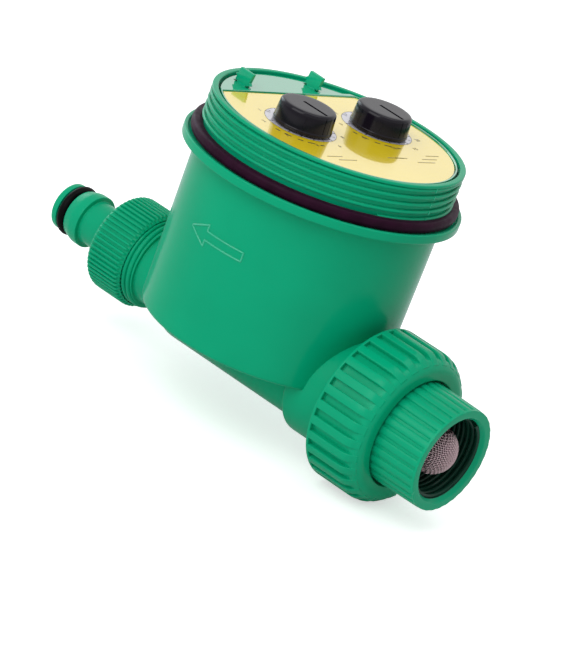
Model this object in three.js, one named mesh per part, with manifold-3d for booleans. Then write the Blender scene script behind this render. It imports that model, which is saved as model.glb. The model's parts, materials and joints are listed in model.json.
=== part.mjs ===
// Drip irrigation timer: a battery-powered two-dial water timer that screws onto a garden tap.
// Millimetres, +Z up along the bucket, +X along the pipe towards the tap.
// The origin is the centre of the inlet's end face, where the tap's spout goes in.
import * as THREE from 'three';
import { mergeVertices } from 'three/addons/utils/BufferGeometryUtils.js';
import Module from 'manifold-3d';

const wasm = await Module();
wasm.setup();

// ---------------------------------------------------------------- driving dimensions

// Clearances
const FIT = 0.3; // between two pieces that seat on each other
const RUN = 0.3; // around a piece that turns or slides
const PAST = 1; // how far a cut runs past the face it opens
const JOIN = 0.5; // how far a joined-on shape reaches into its base

// Bucket, lip and threaded neck (heights start at the pipe's axis, which is the bucket's base;
// the bucket is as high as the cells that stand in it need)
const BUCKET_RADIUS = 38.3; // at the base
const BUCKET_DRAFT = 0.6; // wider at the top
const BUCKET_WALL = 2;
const BUCKET_FLOOR = 2.4;
const BUCKET_EDGE = 1.2;
const LIP_PROUD = 4.9; // beyond the bucket's top
const LIP_THICKNESS = 2.8;
const LIP_RIDGE_WIDTH = 1.2;
const LIP_RIDGE_HEIGHT = 0.6;
const NECK_STEP = 1; // beyond the bucket's top
const NECK_HEIGHT = 14.2;
const NECK_WALL = 1.9;
const NECK_THREAD_DEPTH = 0.9;
const NECK_THREAD_PITCH = 2.37;
const NECK_THREAD_RISE = 0.8; // ring seal to the thread's foot
const NECK_BAND = 0.4; // least plain band at the rim
const LEDGE_DEPTH = 4.8; // rim to the ledge that carries the panel
const BODY_SEAL_WIDTH = 2.9;
const BODY_SEAL_HEIGHT = 3.5;
const BODY_SEAL_EDGE = 0.9;

// Pipe, collar and outlet stub, along the pipe's axis from the bucket's axis
const PIPE_RADIUS = 15.8;
const COLLAR_PROUD = 2.7; // beyond the pipe
const COLLAR_INSET = 11.8; // collar's edge, in from the bucket's base edge
const COLLAR_EDGE = 1.5;
const OUTLET_STUB_PROUD = 4.7; // stub's root, out from the bucket's wall
const OUTLET_BOSS_RADIUS = 12.4;
const OUTLET_BOSS_LENGTH = 9;
const OUTLET_TAPER_LENGTH = 6;
const OUTLET_THREAD_RADIUS = 14.4;
const STUB_THREAD_DEPTH = 0.9;
const OUTLET_THREAD_PITCH = 2;
const OUTLET_THREAD_SHOWN = 3.8; // stub that the small nut leaves uncovered
const WATERWAY_RADIUS = 5;

// Union nut and tap adapter
const UNION_GAP = 5.2; // bucket's base edge to the nut
const UNION_LENGTH = 19.1;
const UNION_RADIUS = 25.2;
const UNION_HOLE_RADIUS = 17.75;
const UNION_FRONT_WALL = 3.4;
const UNION_SHOULDER_LENGTH = 3.4;
const UNION_SHOULDER_DEPTH = 3;
const UNION_GROOVES = 30;
const UNION_GROOVE_WIDTH = 2.4;
const UNION_GROOVE_DEPTH = 1.2;
const UNION_GROOVE_LAND = 1; // plain band behind the grooves
const INLET_THREAD_RADIUS = 21.4;
const INLET_THREAD_PITCH = 3;
const ADAPTER_ROOT_RADIUS = 17.15;
const ADAPTER_TIP_RADIUS = 16.75;
const ADAPTER_LENGTH = 22.3; // flange back to the end face
const ADAPTER_FLANGE = 2.5;
const TAP_THREAD_MAJOR_RADIUS = 13.2;
const TAP_THREAD_MINOR_RADIUS = 12.2;
const TAP_THREAD_PITCH = 1.8;
const TAP_THREAD_RIDGES = 5;
const TAP_SOCKET_DEPTH = 15.5;
const ADAPTER_WATERWAY_RADIUS = 9;
const WASHER_THICKNESS = 1.2;

// Filter in the tap adapter
const FILTER_RIM_THICKNESS = 2.4;
const FILTER_DOME_RADIUS = 7.8;
const FILTER_SLEEVE_LENGTH = 4.6; // straight part below the round end
const FILTER_WALL = 0.8;
const FILTER_BRIM = 1.6;

// Small outlet nut and hose nozzle
const OUTLET_NUT_LENGTH = 14.9;
const OUTLET_NUT_RADIUS = 16;
const OUTLET_NUT_WALL = 2.8;
const OUTLET_NUT_SHOULDER = 1.4;
const NOZZLE_TAIL_FLANGE = 2;
const NOZZLE_NECK_RADIUS = 7.3;
const NOZZLE_NECK_LENGTH = 11.8; // nut to the catch
const NOZZLE_CATCH_RADIUS = 8.8;
const NOZZLE_CATCH_LENGTH = 3;
const NOZZLE_BARREL_RADIUS = 7.8;
const NOZZLE_BARREL_LENGTH = 3.3;
const NOZZLE_SEAL_SECTION = 3;
const NOZZLE_SEAL_RADIUS = 8.4;
const NOZZLE_TIP_LENGTH = 2.3;
const NOZZLE_BORE_RADIUS = 4.6;
const NOZZLE_EDGE = 0.8;

// Ball valve and its stem
const BALL_RADIUS = 8.2;
const SEAT_SETBACK = 3.8; // seat's face, back from the ball's widest point
const BALL_SLOT_WIDTH = 2.8;
const BALL_SLOT_DEPTH = 2.2;
const CHAMBER_GAP = 1.6; // around the ball
const SEAT_LENGTH = 6.4;
const RETAINER_LENGTH = 12;
const STEM_RADIUS = 2.5;
const STEM_TONGUE_WIDTH = 2.2;
const STEM_BOSS_RADIUS = 6.4;
const STEM_SEAL_SECTION = 1.5;
const STEM_SEAL_RISE = 1.2; // above the pipe
const GLAND_LENGTH = 6;

// Gearbox on top of the stem boss
const GEAR_MODULE = 0.6;
const TOOTH_TIP = 0.85; // of the module, beyond the pitch circle
const TOOTH_ROOT = 1.15; // of the module, inside the pitch circle
const TOOTH_TIP_HALF = 0.11; // of the tooth pitch
const TOOTH_ROOT_HALF = 0.28; // of the tooth pitch
const WHEEL_TEETH = 30;
const PINION_TEETH = 10;
const GEAR_WIDTH = 2.5;
const GEAR_GAP = 0.6; // between two gear levels
const GEARBOX_STANDOFF = 3.1; // above the stem boss
const GEARBOX_PLATE = 1.8;
const GEARBOX_WALL = 1.2;
const GEAR_SLEEVE_WALL = 1;
const GEAR_PIN_RADIUS = 1;
const GEAR_PIN_SINK = 0.6; // depth of the pins' seats above the base's underside
const MIDDLE_GEAR_ANGLE = 20; // degrees, seen from the stem
const FIRST_GEAR_ANGLE = 100; // degrees, seen from the middle gear
const MOTOR_ANGLE = 165; // degrees, seen from the first gear
const MOTOR_RADIUS = 6;
const MOTOR_LENGTH = 15;
const MOTOR_SHAFT_RADIUS = 0.8;
const MOTOR_SHAFT_SINK = 2;
const GEARBOX_LUG_RADIUS = 3.6;
const STEM_LUG_ANGLE = -77; // degrees, seen from the stem
const MIDDLE_LUG_ANGLE = 30; // degrees, seen from the middle gear

// Screws
const SCREW_RADIUS = 1.1;
const SCREW_HEAD_RADIUS = 2.4;
const SCREW_HEAD_HEIGHT = 1.4;
const GEARBOX_SCREW_BITE = 8; // below the gearbox
const SCREW_HOLE_SPARE = 2;
const BOARD_SCREW_LENGTH = 7;

// Panel, label, knobs and dials; the panel is turned a little against the pipe
const PANEL_TURN = -6.4; // degrees
const PANEL_THICKNESS = 4.1;
const PANEL_GAP = 0.8; // to the neck's bore
const PANEL_BORDER = 0.8;
const PANEL_CHORD_BORDER = 1.8;
const LABEL_THICKNESS = 0.4;
const LABEL_SINK = 0.4; // label's face below the border
const COVER_GAP = 0.4;
const KNOB_SPACING = 32.9;
const KNOB_X = 0.3;
const KNOB_BASE_RADIUS = 9.15;
const KNOB_TOP_RADIUS = 8.6;
const KNOB_HEIGHT = 6.7;
const KNOB_EDGE = 0.8;
const KNOB_WALL = 1.6;
const KNOB_SKIRT_DEPTH = 4;
const KNOB_LIFT = 0.5; // label to the knob's foot
const POINTER_ANGLE = 4; // degrees from the panel's X axis
const POINTER_START = -2.4; // from the knob's axis
const POINTER_END = 6.2;
const POINTER_WIDTH = 1.1;
const POINTER_DEPTH = 0.5;
const SHAFT_RADIUS = 3;
const SHAFT_ENGAGEMENT = 4.8;
const POT_RADIUS = 7.4;
const POT_HEIGHT = 5;
const POT_FLOOR = 1;
const BOARD_THICKNESS = 1.6;
const BOARD_DROP = 10; // panel's underside to the board's top
const BOARD_MARGIN = 2.8; // to the bucket's bore
const BOARD_POST_RADIUS = 2.8;
const BOARD_CLEARANCE = 2; // to the battery chute
const BOARD_POSTS = [[26, 0], [-16, 24], [-16, -24]];
const CHIP_LENGTH = 12;
const CHIP_WIDTH = 8;
const CHIP_HEIGHT = 2;
const CHIP_X = 14;
const CAPACITOR_RADIUS = 2.5;
const CAPACITOR_HEIGHT = 6;
const CAPACITOR_X = -12;

// Cells, chute, contacts, cover and latches
const CELL_RADIUS = 5.25;
const CELL_LENGTH = 43.5;
const CELL_NUB_RADIUS = 1.9;
const CELL_NUB_HEIGHT = 1;
const CELL_GAP = 0.9;
const CHUTE_WALL = 1;
const CHUTE_FLOOR = 1.5;
const CONTACT_PLATE = 0.5;
const CONTACT_MARGIN = 1.4; // contact plate inside a cell's outline
const CONTACT_POST_RADIUS = 1.6;
const SPRING_ROOM = 2.3; // under the cells, for their contacts
const SPRING_WIRE_RADIUS = 0.35;
const SPRING_TURNS = 3;
const SPRING_MARGIN = 1.2; // bottom turn inside a cell's outline
const SPRING_TOP_RADIUS = 2;
const COVER_THICKNESS = 3.7;
const LATCH_OFFSET = 2.75; // chute's side to the latch's middle
const LATCH_WIDTH = 5.8;
const LATCH_THICKNESS = 1.2;
const LATCH_WALL_GAP = 0.82; // bucket's bore to the corner of the latch's leg
const LATCH_RISE = 4.6; // finger tab above the cover
const LATCH_LEG = 5; // leg below the cover
const LATCH_HOOK = 0.7;
const LATCH_HOOK_TIP = 1.4; // hook's tip above the leg's foot
const LATCH_HOOK_HEIGHT = 1.7;
const KEEPER_THICKNESS = 1.4;
const LATCH_FIN = 1; // stiffening fin on the tab's outer edge

// Facets around a turned piece
const FINE = 40;
const MEDIUM = 30;
const COARSE = 20;
const SMALL = 10;
const RING_SIDES = 6; // facets around an O-ring's section
const PIPE_FACET_TURN = 1.7; // degrees; keeps the pipe's facet corners off the bucket's planes

// ---------------------------------------------------------------- derived places

const degrees = THREE.MathUtils.degToRad;
const bucketTopRadius = BUCKET_RADIUS + BUCKET_DRAFT;
const lipRadius = bucketTopRadius + LIP_PROUD;
const neckRadius = bucketTopRadius + NECK_STEP;
const collarRadius = PIPE_RADIUS + COLLAR_PROUD;
const collarX = BUCKET_RADIUS - COLLAR_INSET;
const chuteZ = PIPE_RADIUS + FIT;
const cellZ = chuteZ + CHUTE_FLOOR + SPRING_ROOM;
const panelZ = cellZ + CELL_LENGTH + CELL_NUB_HEIGHT + CONTACT_PLATE + 2 * FIT;
const ledgeZ = panelZ - FIT;
const rimZ = ledgeZ + LEDGE_DEPTH;
const lipTop = rimZ - NECK_HEIGHT;
const bucketHeight = lipTop - LIP_THICKNESS;
const bucketBore = BUCKET_RADIUS - BUCKET_WALL;
const neckBore = neckRadius - NECK_WALL;
const neckRoot = neckRadius - NECK_THREAD_DEPTH;
const bodySealZ = lipTop - LIP_RIDGE_HEIGHT + FIT;
const neckThreadZ = bodySealZ + BODY_SEAL_HEIGHT + NECK_THREAD_RISE;
const neckThreadRidges = Math.floor((rimZ - NECK_BAND - neckThreadZ) / NECK_THREAD_PITCH);

const unionBackX = BUCKET_RADIUS + UNION_GAP;
const unionFrontX = unionBackX + UNION_LENGTH;
const adapterFlangeFrontX = unionFrontX - UNION_FRONT_WALL - FIT;
const adapterBackX = adapterFlangeFrontX - ADAPTER_FLANGE;
const inletFaceX = adapterBackX + ADAPTER_LENGTH;
const inletWasherX = adapterBackX - FIT - WASHER_THICKNESS;
const inletStubEndX = inletWasherX - FIT;
const unionBore = INLET_THREAD_RADIUS + FIT;
const socketFloorX = inletFaceX - TAP_SOCKET_DEPTH;

const outletStubRootX = -(bucketBore + BUCKET_WALL + OUTLET_STUB_PROUD);
const outletNutRightX = outletStubRootX - OUTLET_THREAD_SHOWN;
const outletNutLeftX = outletNutRightX - OUTLET_NUT_LENGTH;
const nozzleTailX = outletNutLeftX + OUTLET_NUT_WALL + FIT;
const nozzleTailEndX = nozzleTailX + NOZZLE_TAIL_FLANGE;
const outletWasherX = nozzleTailEndX + FIT;
const outletStubEndX = outletWasherX + WASHER_THICKNESS + FIT;
const outletNutBore = OUTLET_THREAD_RADIUS + FIT;

const chamberRadius = BALL_RADIUS + CHAMBER_GAP;
const slotFloor = BALL_RADIUS - BALL_SLOT_DEPTH;
const stemSealFloor = PIPE_RADIUS + STEM_SEAL_RISE;
const seatFaceX = BALL_RADIUS - SEAT_SETBACK;
const chamberFloorX = -(seatFaceX + SEAT_LENGTH + FIT);
const retainerX = seatFaceX + SEAT_LENGTH + FIT;
const stemBore = STEM_RADIUS + RUN;
const glandBore = stemBore + STEM_SEAL_SECTION + FIT;
const glandZ = stemSealFloor + 2 * (STEM_SEAL_SECTION + FIT) + FIT;
const stemBossTop = glandZ + GLAND_LENGTH;

const gearboxFloorZ = stemBossTop + GEARBOX_STANDOFF;
const gearFloorZ = gearboxFloorZ + GEARBOX_PLATE;
const gearLevel = (level) => gearFloorZ + FIT + level * (GEAR_WIDTH + GEAR_GAP);
const gearRoofZ = gearLevel(2) + GEAR_WIDTH + GEAR_GAP;
const gearboxTopZ = gearRoofZ + GEARBOX_WALL;
const gearCentres = GEAR_MODULE * (WHEEL_TEETH + PINION_TEETH) / 2;
const polar = ([x, y], distance, angle) => [
  x + distance * Math.cos(degrees(angle)),
  y + distance * Math.sin(degrees(angle)),
];
const stemAxis = [0, 0];
const middleAxis = polar(stemAxis, gearCentres, MIDDLE_GEAR_ANGLE);
const firstAxis = polar(middleAxis, gearCentres, FIRST_GEAR_ANGLE);
const motorAxis = polar(firstAxis, gearCentres, MOTOR_ANGLE);
const wheelRoom = GEAR_MODULE * (WHEEL_TEETH / 2 + 1) + 2 * RUN; // radius kept free for a wheel
const lugDistance = wheelRoom + GEARBOX_WALL + FIT + SCREW_RADIUS + FIT;
const lugAxes = [
  polar(stemAxis, lugDistance, STEM_LUG_ANGLE),
  polar(middleAxis, lugDistance, MIDDLE_LUG_ANGLE),
];

const panelTop = panelZ + PANEL_THICKNESS;
const labelTop = panelTop - LABEL_SINK;
const panelRadius = neckBore - PANEL_GAP;
const labelRadius = panelRadius - PANEL_BORDER;
const cellY = CELL_RADIUS + CELL_GAP / 2;
const cellX = -Math.sqrt((bucketBore - FIT - CELL_RADIUS) ** 2 - cellY ** 2);
const coverChord = cellX + CELL_RADIUS;
const panelChord = coverChord + COVER_GAP;
const labelChord = panelChord + PANEL_CHORD_BORDER;
const chuteFrontX = coverChord + FIT;
const chuteHalf = cellY + CELL_RADIUS + FIT;
const chuteOuterHalf = chuteHalf + CHUTE_WALL;
const latchY = chuteOuterHalf + LATCH_OFFSET;
const latchCornerY = latchY + LATCH_THICKNESS / 2;
const latchCornerX = -Math.sqrt((bucketBore - LATCH_WALL_GAP) ** 2 - latchCornerY ** 2);
const latchX = latchCornerX + LATCH_WIDTH / 2;
const boardTop = panelZ - BOARD_DROP;
const boardRadius = bucketBore - BOARD_MARGIN;
const boardChord = chuteFrontX + CHUTE_WALL + BOARD_CLEARANCE;
const shaftTop = labelTop + KNOB_LIFT + SHAFT_ENGAGEMENT;
const shaftFoot = boardTop + FIT + POT_FLOOR;
const coverTop = panelZ + COVER_THICKNESS;

// ---------------------------------------------------------------- shape tools

/** Shared vertices, no flattened faces, and faces turned outwards. */
function closedMesh(geometry) {
  const bare = geometry.clone();
  bare.deleteAttribute('normal');
  bare.deleteAttribute('uv');
  const merged = mergeVertices(bare, 1e-4);
  const place = merged.getAttribute('position');
  const corners = [];
  let volume = 0;
  for (let i = 0; i < merged.index.count; i += 3) {
    const [a, b, c] = [0, 1, 2].map((k) => merged.index.getX(i + k));
    if (a === b || b === c || c === a) continue;
    corners.push(a, b, c);
    const [p, q, r] = [a, b, c].map((k) => new THREE.Vector3().fromBufferAttribute(place, k));
    volume += p.dot(q.cross(r));
  }
  merged.setIndex(volume < 0 ? corners.reverse() : corners);
  return merged;
}

/** A closed three.js geometry as a solid that can be joined or cut. */
function solid(geometry) {
  const mesh = closedMesh(geometry);
  const vertProperties = new Float32Array(mesh.getAttribute('position').array);
  const triVerts = new Uint32Array(mesh.index.array);
  return new wasm.Manifold(new wasm.Mesh({ numProp: 3, vertProperties, triVerts }));
}

/** A joined or cut solid as a three.js geometry. */
function shapeOf(manifold) {
  const mesh = manifold.getMesh();
  const geometry = new THREE.BufferGeometry();
  const attribute = new THREE.BufferAttribute(new Float32Array(mesh.vertProperties), 3);
  geometry.setAttribute('position', attribute);
  geometry.setIndex(new THREE.BufferAttribute(new Uint32Array(mesh.triVerts), 1));
  return geometry;
}

/** The first geometry, with the added ones joined on and then the cuts taken out. */
function build(base, added = [], cuts = []) {
  let body = solid(base);
  for (const geometry of added) body = body.add(solid(geometry));
  for (const geometry of cuts) body = body.subtract(solid(geometry));
  return shapeOf(body);
}

/** A profile of [radius, height] points turned about the Z axis. */
function turnZ(profile, segments = FINE) {
  const points = profile.map(([radius, height]) => new THREE.Vector2(radius, height));
  return new THREE.LatheGeometry(points, segments).rotateX(Math.PI / 2);
}

/** A profile of [distance along X, radius] points turned about the X axis. */
function turnX(profile, segments = FINE) {
  const points = profile.map(([along, radius]) => new THREE.Vector2(radius, along));
  const turned = new THREE.LatheGeometry(points, segments).rotateZ(-Math.PI / 2);
  return turned.rotateX(degrees(PIPE_FACET_TURN));
}

/** A closed ring profile: the last point returns to the first. */
const closed = (profile) => [...profile, profile[0]];

/** An upright cylinder between two heights. */
function rod(radius, low, high, [x, y] = [0, 0], segments = SMALL) {
  const geometry = new THREE.CylinderGeometry(radius, radius, high - low, segments);
  return geometry.rotateX(Math.PI / 2).translate(x, y, (low + high) / 2);
}

/** A cylinder along X between two distances. */
function rodX(radius, left, right, segments = FINE) {
  const geometry = new THREE.CylinderGeometry(radius, radius, right - left, segments);
  geometry.rotateZ(Math.PI / 2).rotateX(degrees(PIPE_FACET_TURN));
  return geometry.translate((left + right) / 2, 0, 0);
}

/** A box from its limits along each axis. */
function block([x0, x1], [y0, y1], [z0, z1]) {
  const geometry = new THREE.BoxGeometry(x1 - x0, y1 - y0, z1 - z0);
  return geometry.translate((x0 + x1) / 2, (y0 + y1) / 2, (z0 + z1) / 2);
}

/** A flat outline raised between two heights. */
function raise(outline, low, high, curveSegments = FINE / 2) {
  const depth = high - low;
  const geometry = new THREE.ExtrudeGeometry(outline, { depth, bevelEnabled: false, curveSegments });
  return geometry.translate(0, 0, low);
}

/** The part of a round outline on the +X side of a chord. */
function roundAfterChord(radius, chord) {
  const half = Math.acos(chord / radius);
  const outline = new THREE.Shape();
  outline.absarc(0, 0, radius, -half, half, false);
  outline.closePath();
  return outline;
}

/** The part of a round outline on the -X side of a chord. */
function roundBeforeChord(radius, chord) {
  const half = Math.acos(chord / radius);
  const outline = new THREE.Shape();
  outline.absarc(0, 0, radius, half, 2 * Math.PI - half, false);
  outline.closePath();
  return outline;
}

/** A round O-ring about Z. */
function ringZ(innerRadius, section, centreZ) {
  const ring = new THREE.TorusGeometry(innerRadius + section / 2, section / 2, RING_SIDES, COARSE);
  return ring.translate(0, 0, centreZ);
}

/** Ridge points [along, radius] of a thread drawn as rings, from start in steps of pitch. */
function ridges(start, pitch, count, root, crest) {
  const points = [];
  for (let i = 0; i < count; i += 1) {
    points.push([start + i * pitch, root], [start + (i + 0.5) * pitch, crest]);
  }
  points.push([start + count * pitch, root]);
  return points;
}

/** A spur gear outline with a tooth centred on the given angle. */
function gearOutline(teeth, toothAngle, boreRadius) {
  const pitchRadius = GEAR_MODULE * teeth / 2;
  const tip = pitchRadius + TOOTH_TIP * GEAR_MODULE;
  const root = pitchRadius - TOOTH_ROOT * GEAR_MODULE;
  const step = 2 * Math.PI / teeth;
  const corners = [
    [root, -TOOTH_ROOT_HALF], [tip, -TOOTH_TIP_HALF], [tip, TOOTH_TIP_HALF], [root, TOOTH_ROOT_HALF],
  ];
  const points = [];
  for (let tooth = 0; tooth < teeth; tooth += 1) {
    for (const [radius, share] of corners) {
      const angle = toothAngle + (tooth + share) * step;
      points.push(new THREE.Vector2(radius * Math.cos(angle), radius * Math.sin(angle)));
    }
  }
  const outline = new THREE.Shape(points);
  outline.holes.push(new THREE.Path().absarc(0, 0, boreRadius, 0, 2 * Math.PI, true));
  return outline;
}

// ---------------------------------------------------------------- finishes

const finish = (color, roughness, metalness = 0) => ({ color, roughness, metalness });
const GREEN_GLOSS = finish(0x0aa06e, 0.22);
const GREEN_SATIN = finish(0x12a575, 0.38);
const SEAL_RUBBER = finish(0x2d1420, 0.45);
const BLACK_RUBBER = finish(0x0c0c0d, 0.5);
const KNOB_CHARCOAL = finish(0x26262b, 0.35);
const LABEL_YELLOW = finish(0xd9be1e, 0.2);
const STEEL = finish(0xb8bcc0, 0.3, 1);
const BRASS = finish(0xc9a552, 0.35, 1);
const MESH_STEEL = finish(0x877076, 0.45, 0.8);
const WHITE_ACETAL = finish(0xe8e6de, 0.4);
const BOARD_GREEN = finish(0x1c5a34, 0.5);
const CELL_JACKET = finish(0x2f5fa8, 0.35);
const BLACK_PLASTIC = finish(0x17181a, 0.45);
const GREY_PLASTIC = finish(0x8b9094, 0.5);
const SEAT_WHITE = finish(0xf1efe9, 0.5);

/** A named piece with its own material. */
function piece(name, geometry, look) {
  const mesh = new THREE.Mesh(closedMesh(geometry), new THREE.MeshStandardMaterial(look));
  mesh.name = name;
  return mesh;
}

// ---------------------------------------------------------------- housing

/** Ring seal around the neck's foot, square in section with its corners cut. */
function bodySeal() {
  const inner = neckRoot + FIT;
  const outer = inner + BODY_SEAL_WIDTH;
  const top = bodySealZ + BODY_SEAL_HEIGHT;
  return turnZ(closed([
    [inner, bodySealZ + BODY_SEAL_EDGE],
    [inner + BODY_SEAL_EDGE, bodySealZ],
    [outer - BODY_SEAL_EDGE, bodySealZ],
    [outer, bodySealZ + BODY_SEAL_EDGE],
    [outer, top - BODY_SEAL_EDGE],
    [outer - BODY_SEAL_EDGE, top],
    [inner + BODY_SEAL_EDGE, top],
    [inner, top - BODY_SEAL_EDGE],
  ]));
}

/** Bucket, lip and threaded neck as one turned shell. */
function bucketShell() {
  const thread = ridges(neckThreadZ, NECK_THREAD_PITCH, neckThreadRidges, neckRoot, neckRadius);
  return turnZ([
    [0, 0],
    [BUCKET_RADIUS - BUCKET_EDGE, 0],
    [BUCKET_RADIUS, BUCKET_EDGE],
    [bucketTopRadius, bucketHeight],
    [lipRadius, bucketHeight],
    [lipRadius, lipTop],
    [lipRadius - LIP_RIDGE_WIDTH, lipTop],
    [lipRadius - LIP_RIDGE_WIDTH, lipTop - LIP_RIDGE_HEIGHT],
    [neckRoot, lipTop - LIP_RIDGE_HEIGHT],
    ...thread.map(([height, radius]) => [radius, height]),
    [neckRadius, neckThreadZ + NECK_THREAD_PITCH * neckThreadRidges + FIT],
    [neckRadius, rimZ],
    [neckBore, rimZ],
    [neckBore, ledgeZ],
    [bucketBore, ledgeZ],
    [bucketBore, BUCKET_FLOOR],
    [0, BUCKET_FLOOR],
  ]);
}

/** Outer solid of the pipe: outlet stub, boss, barrel, collar and inlet stub. */
function pipeSolid() {
  const outletRoot = OUTLET_THREAD_RADIUS - STUB_THREAD_DEPTH;
  const outletRidges = Math.floor((outletStubRootX - outletStubEndX) / OUTLET_THREAD_PITCH);
  const inletRoot = INLET_THREAD_RADIUS - STUB_THREAD_DEPTH;
  const inletStartX = unionBackX + FIT;
  const inletRidges = Math.floor((inletStubEndX - inletStartX) / INLET_THREAD_PITCH);
  const bossEndX = outletStubRootX + OUTLET_BOSS_LENGTH;
  const outletThreadX = outletStubRootX - outletRidges * OUTLET_THREAD_PITCH;
  return turnX([
    [outletStubEndX, 0],
    [outletStubEndX, outletRoot],
    ...ridges(outletThreadX, OUTLET_THREAD_PITCH, outletRidges, outletRoot, OUTLET_THREAD_RADIUS),
    [outletStubRootX, OUTLET_BOSS_RADIUS],
    [bossEndX, OUTLET_BOSS_RADIUS],
    [bossEndX + OUTLET_TAPER_LENGTH, PIPE_RADIUS],
    [collarX, PIPE_RADIUS],
    [collarX, collarRadius - COLLAR_EDGE],
    [collarX + COLLAR_EDGE, collarRadius],
    [inletStartX, collarRadius],
    ...ridges(inletStartX, INLET_THREAD_PITCH, inletRidges, inletRoot, INLET_THREAD_RADIUS),
    [inletStubEndX, inletRoot],
    [inletStubEndX, 0],
  ], MEDIUM);
}

function housing() {
  const posts = lugAxes.map((at) => (
    rod(GEARBOX_LUG_RADIUS, BUCKET_FLOOR / 2, gearboxFloorZ - FIT, at, SMALL)
  ));
  const screwHoles = lugAxes.map((at) => (
    rod(SCREW_RADIUS + FIT, gearboxFloorZ - GEARBOX_SCREW_BITE - SCREW_HOLE_SPARE,
      gearboxFloorZ, at, SMALL)
  ));
  const boss = rod(STEM_BOSS_RADIUS, chamberRadius, stemBossTop, stemAxis, COARSE);
  const cuts = [
    rodX(WATERWAY_RADIUS, outletStubEndX - PAST, 0, COARSE),
    rodX(chamberRadius, chamberFloorX, inletStubEndX + PAST, MEDIUM),
    rod(stemBore, 0, stemBossTop + PAST, stemAxis, COARSE),
    rod(glandBore, stemSealFloor, stemBossTop + PAST, stemAxis, COARSE),
    ...screwHoles,
  ];
  const geometry = build(bucketShell(), [pipeSolid(), boss, ...posts], cuts);
  return [
    piece('housing', geometry, GREEN_GLOSS),
    piece('body_seal', bodySeal(), SEAL_RUBBER),
  ];
}

// ---------------------------------------------------------------- inlet

/** Axial grooves around the union nut, closed at the back and open at the front. */
function unionGrooves() {
  return Array.from({ length: UNION_GROOVES }, (_, i) => {
    const groove = block(
      [unionBackX + UNION_GROOVE_LAND, unionFrontX],
      [-UNION_GROOVE_WIDTH / 2, UNION_GROOVE_WIDTH / 2],
      [UNION_RADIUS - UNION_GROOVE_DEPTH, UNION_RADIUS + PAST],
    );
    return groove.rotateX((i + 0.5) * 2 * Math.PI / UNION_GROOVES);
  });
}

function unionNut() {
  const shoulderX = unionFrontX - UNION_SHOULDER_LENGTH;
  const shell = turnX(closed([
    [unionBackX, unionBore],
    [unionBackX, UNION_RADIUS],
    [shoulderX, UNION_RADIUS],
    [unionFrontX, UNION_RADIUS - UNION_SHOULDER_DEPTH],
    [unionFrontX, UNION_HOLE_RADIUS],
    [unionFrontX - UNION_FRONT_WALL, UNION_HOLE_RADIUS],
    [unionFrontX - UNION_FRONT_WALL, unionBore],
  ]), 60);
  return piece('union_nut', build(shell, [], unionGrooves()), GREEN_SATIN);
}

function tapAdapter() {
  const flangeRadius = unionBore - RUN - FIT;
  const threadX = inletFaceX - TAP_THREAD_PITCH * (TAP_THREAD_RIDGES + 0.5);
  const thread = ridges(threadX, TAP_THREAD_PITCH, TAP_THREAD_RIDGES,
    TAP_THREAD_MAJOR_RADIUS, TAP_THREAD_MINOR_RADIUS);
  return piece('tap_adapter', turnX(closed([
    [adapterBackX, ADAPTER_WATERWAY_RADIUS],
    [adapterBackX, flangeRadius],
    [adapterFlangeFrontX, flangeRadius],
    [adapterFlangeFrontX, ADAPTER_ROOT_RADIUS],
    [inletFaceX, ADAPTER_TIP_RADIUS],
    [inletFaceX, TAP_THREAD_MAJOR_RADIUS],
    ...thread.reverse(),
    [socketFloorX, TAP_THREAD_MAJOR_RADIUS],
    [socketFloorX, ADAPTER_WATERWAY_RADIUS],
  ]), MEDIUM), GREEN_SATIN);
}

/** Domed woven filter standing in its rubber rim, at the floor of the tap socket. */
function filter() {
  const rimX = socketFloorX + FIT;
  const rimRadius = TAP_THREAD_MINOR_RADIUS - RUN;
  const rimFrontX = rimX + FILTER_RIM_THICKNESS;
  const brimX = rimFrontX + FIT;
  const roundStartX = brimX + FILTER_SLEEVE_LENGTH;
  const roundEnd = (radius) => [0, 1, 2, 3].map((i) => {
    const angle = i * Math.PI / 8;
    return [roundStartX + radius * Math.sin(angle), radius * Math.cos(angle)];
  });
  const innerRadius = FILTER_DOME_RADIUS - FILTER_WALL;
  const brimRadius = FILTER_DOME_RADIUS + FILTER_BRIM;
  return [
    piece('filter_rim', turnX(closed([
      [rimX, innerRadius],
      [rimX, rimRadius],
      [rimFrontX, rimRadius],
      [rimFrontX, innerRadius],
    ]), MEDIUM), BLACK_RUBBER),
    piece('filter_dome', turnX([
      [roundStartX + FILTER_DOME_RADIUS, 0],
      ...roundEnd(FILTER_DOME_RADIUS).toReversed(),
      [brimX + FILTER_WALL, FILTER_DOME_RADIUS],
      [brimX + FILTER_WALL, brimRadius],
      [brimX, brimRadius],
      [brimX, innerRadius],
      ...roundEnd(innerRadius),
      [roundStartX + innerRadius, 0],
    ], COARSE), MESH_STEEL),
  ];
}

function washer(name, leftX, outerRadius, innerRadius) {
  return piece(name, turnX(closed([
    [leftX, innerRadius],
    [leftX, outerRadius],
    [leftX + WASHER_THICKNESS, outerRadius],
    [leftX + WASHER_THICKNESS, innerRadius],
  ]), MEDIUM), BLACK_RUBBER);
}

function inlet() {
  const washerRadius = INLET_THREAD_RADIUS - STUB_THREAD_DEPTH;
  return [
    unionNut(),
    tapAdapter(),
    washer('inlet_washer', inletWasherX, washerRadius, chamberRadius),
    ...filter(),
  ];
}

// ---------------------------------------------------------------- outlet

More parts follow.
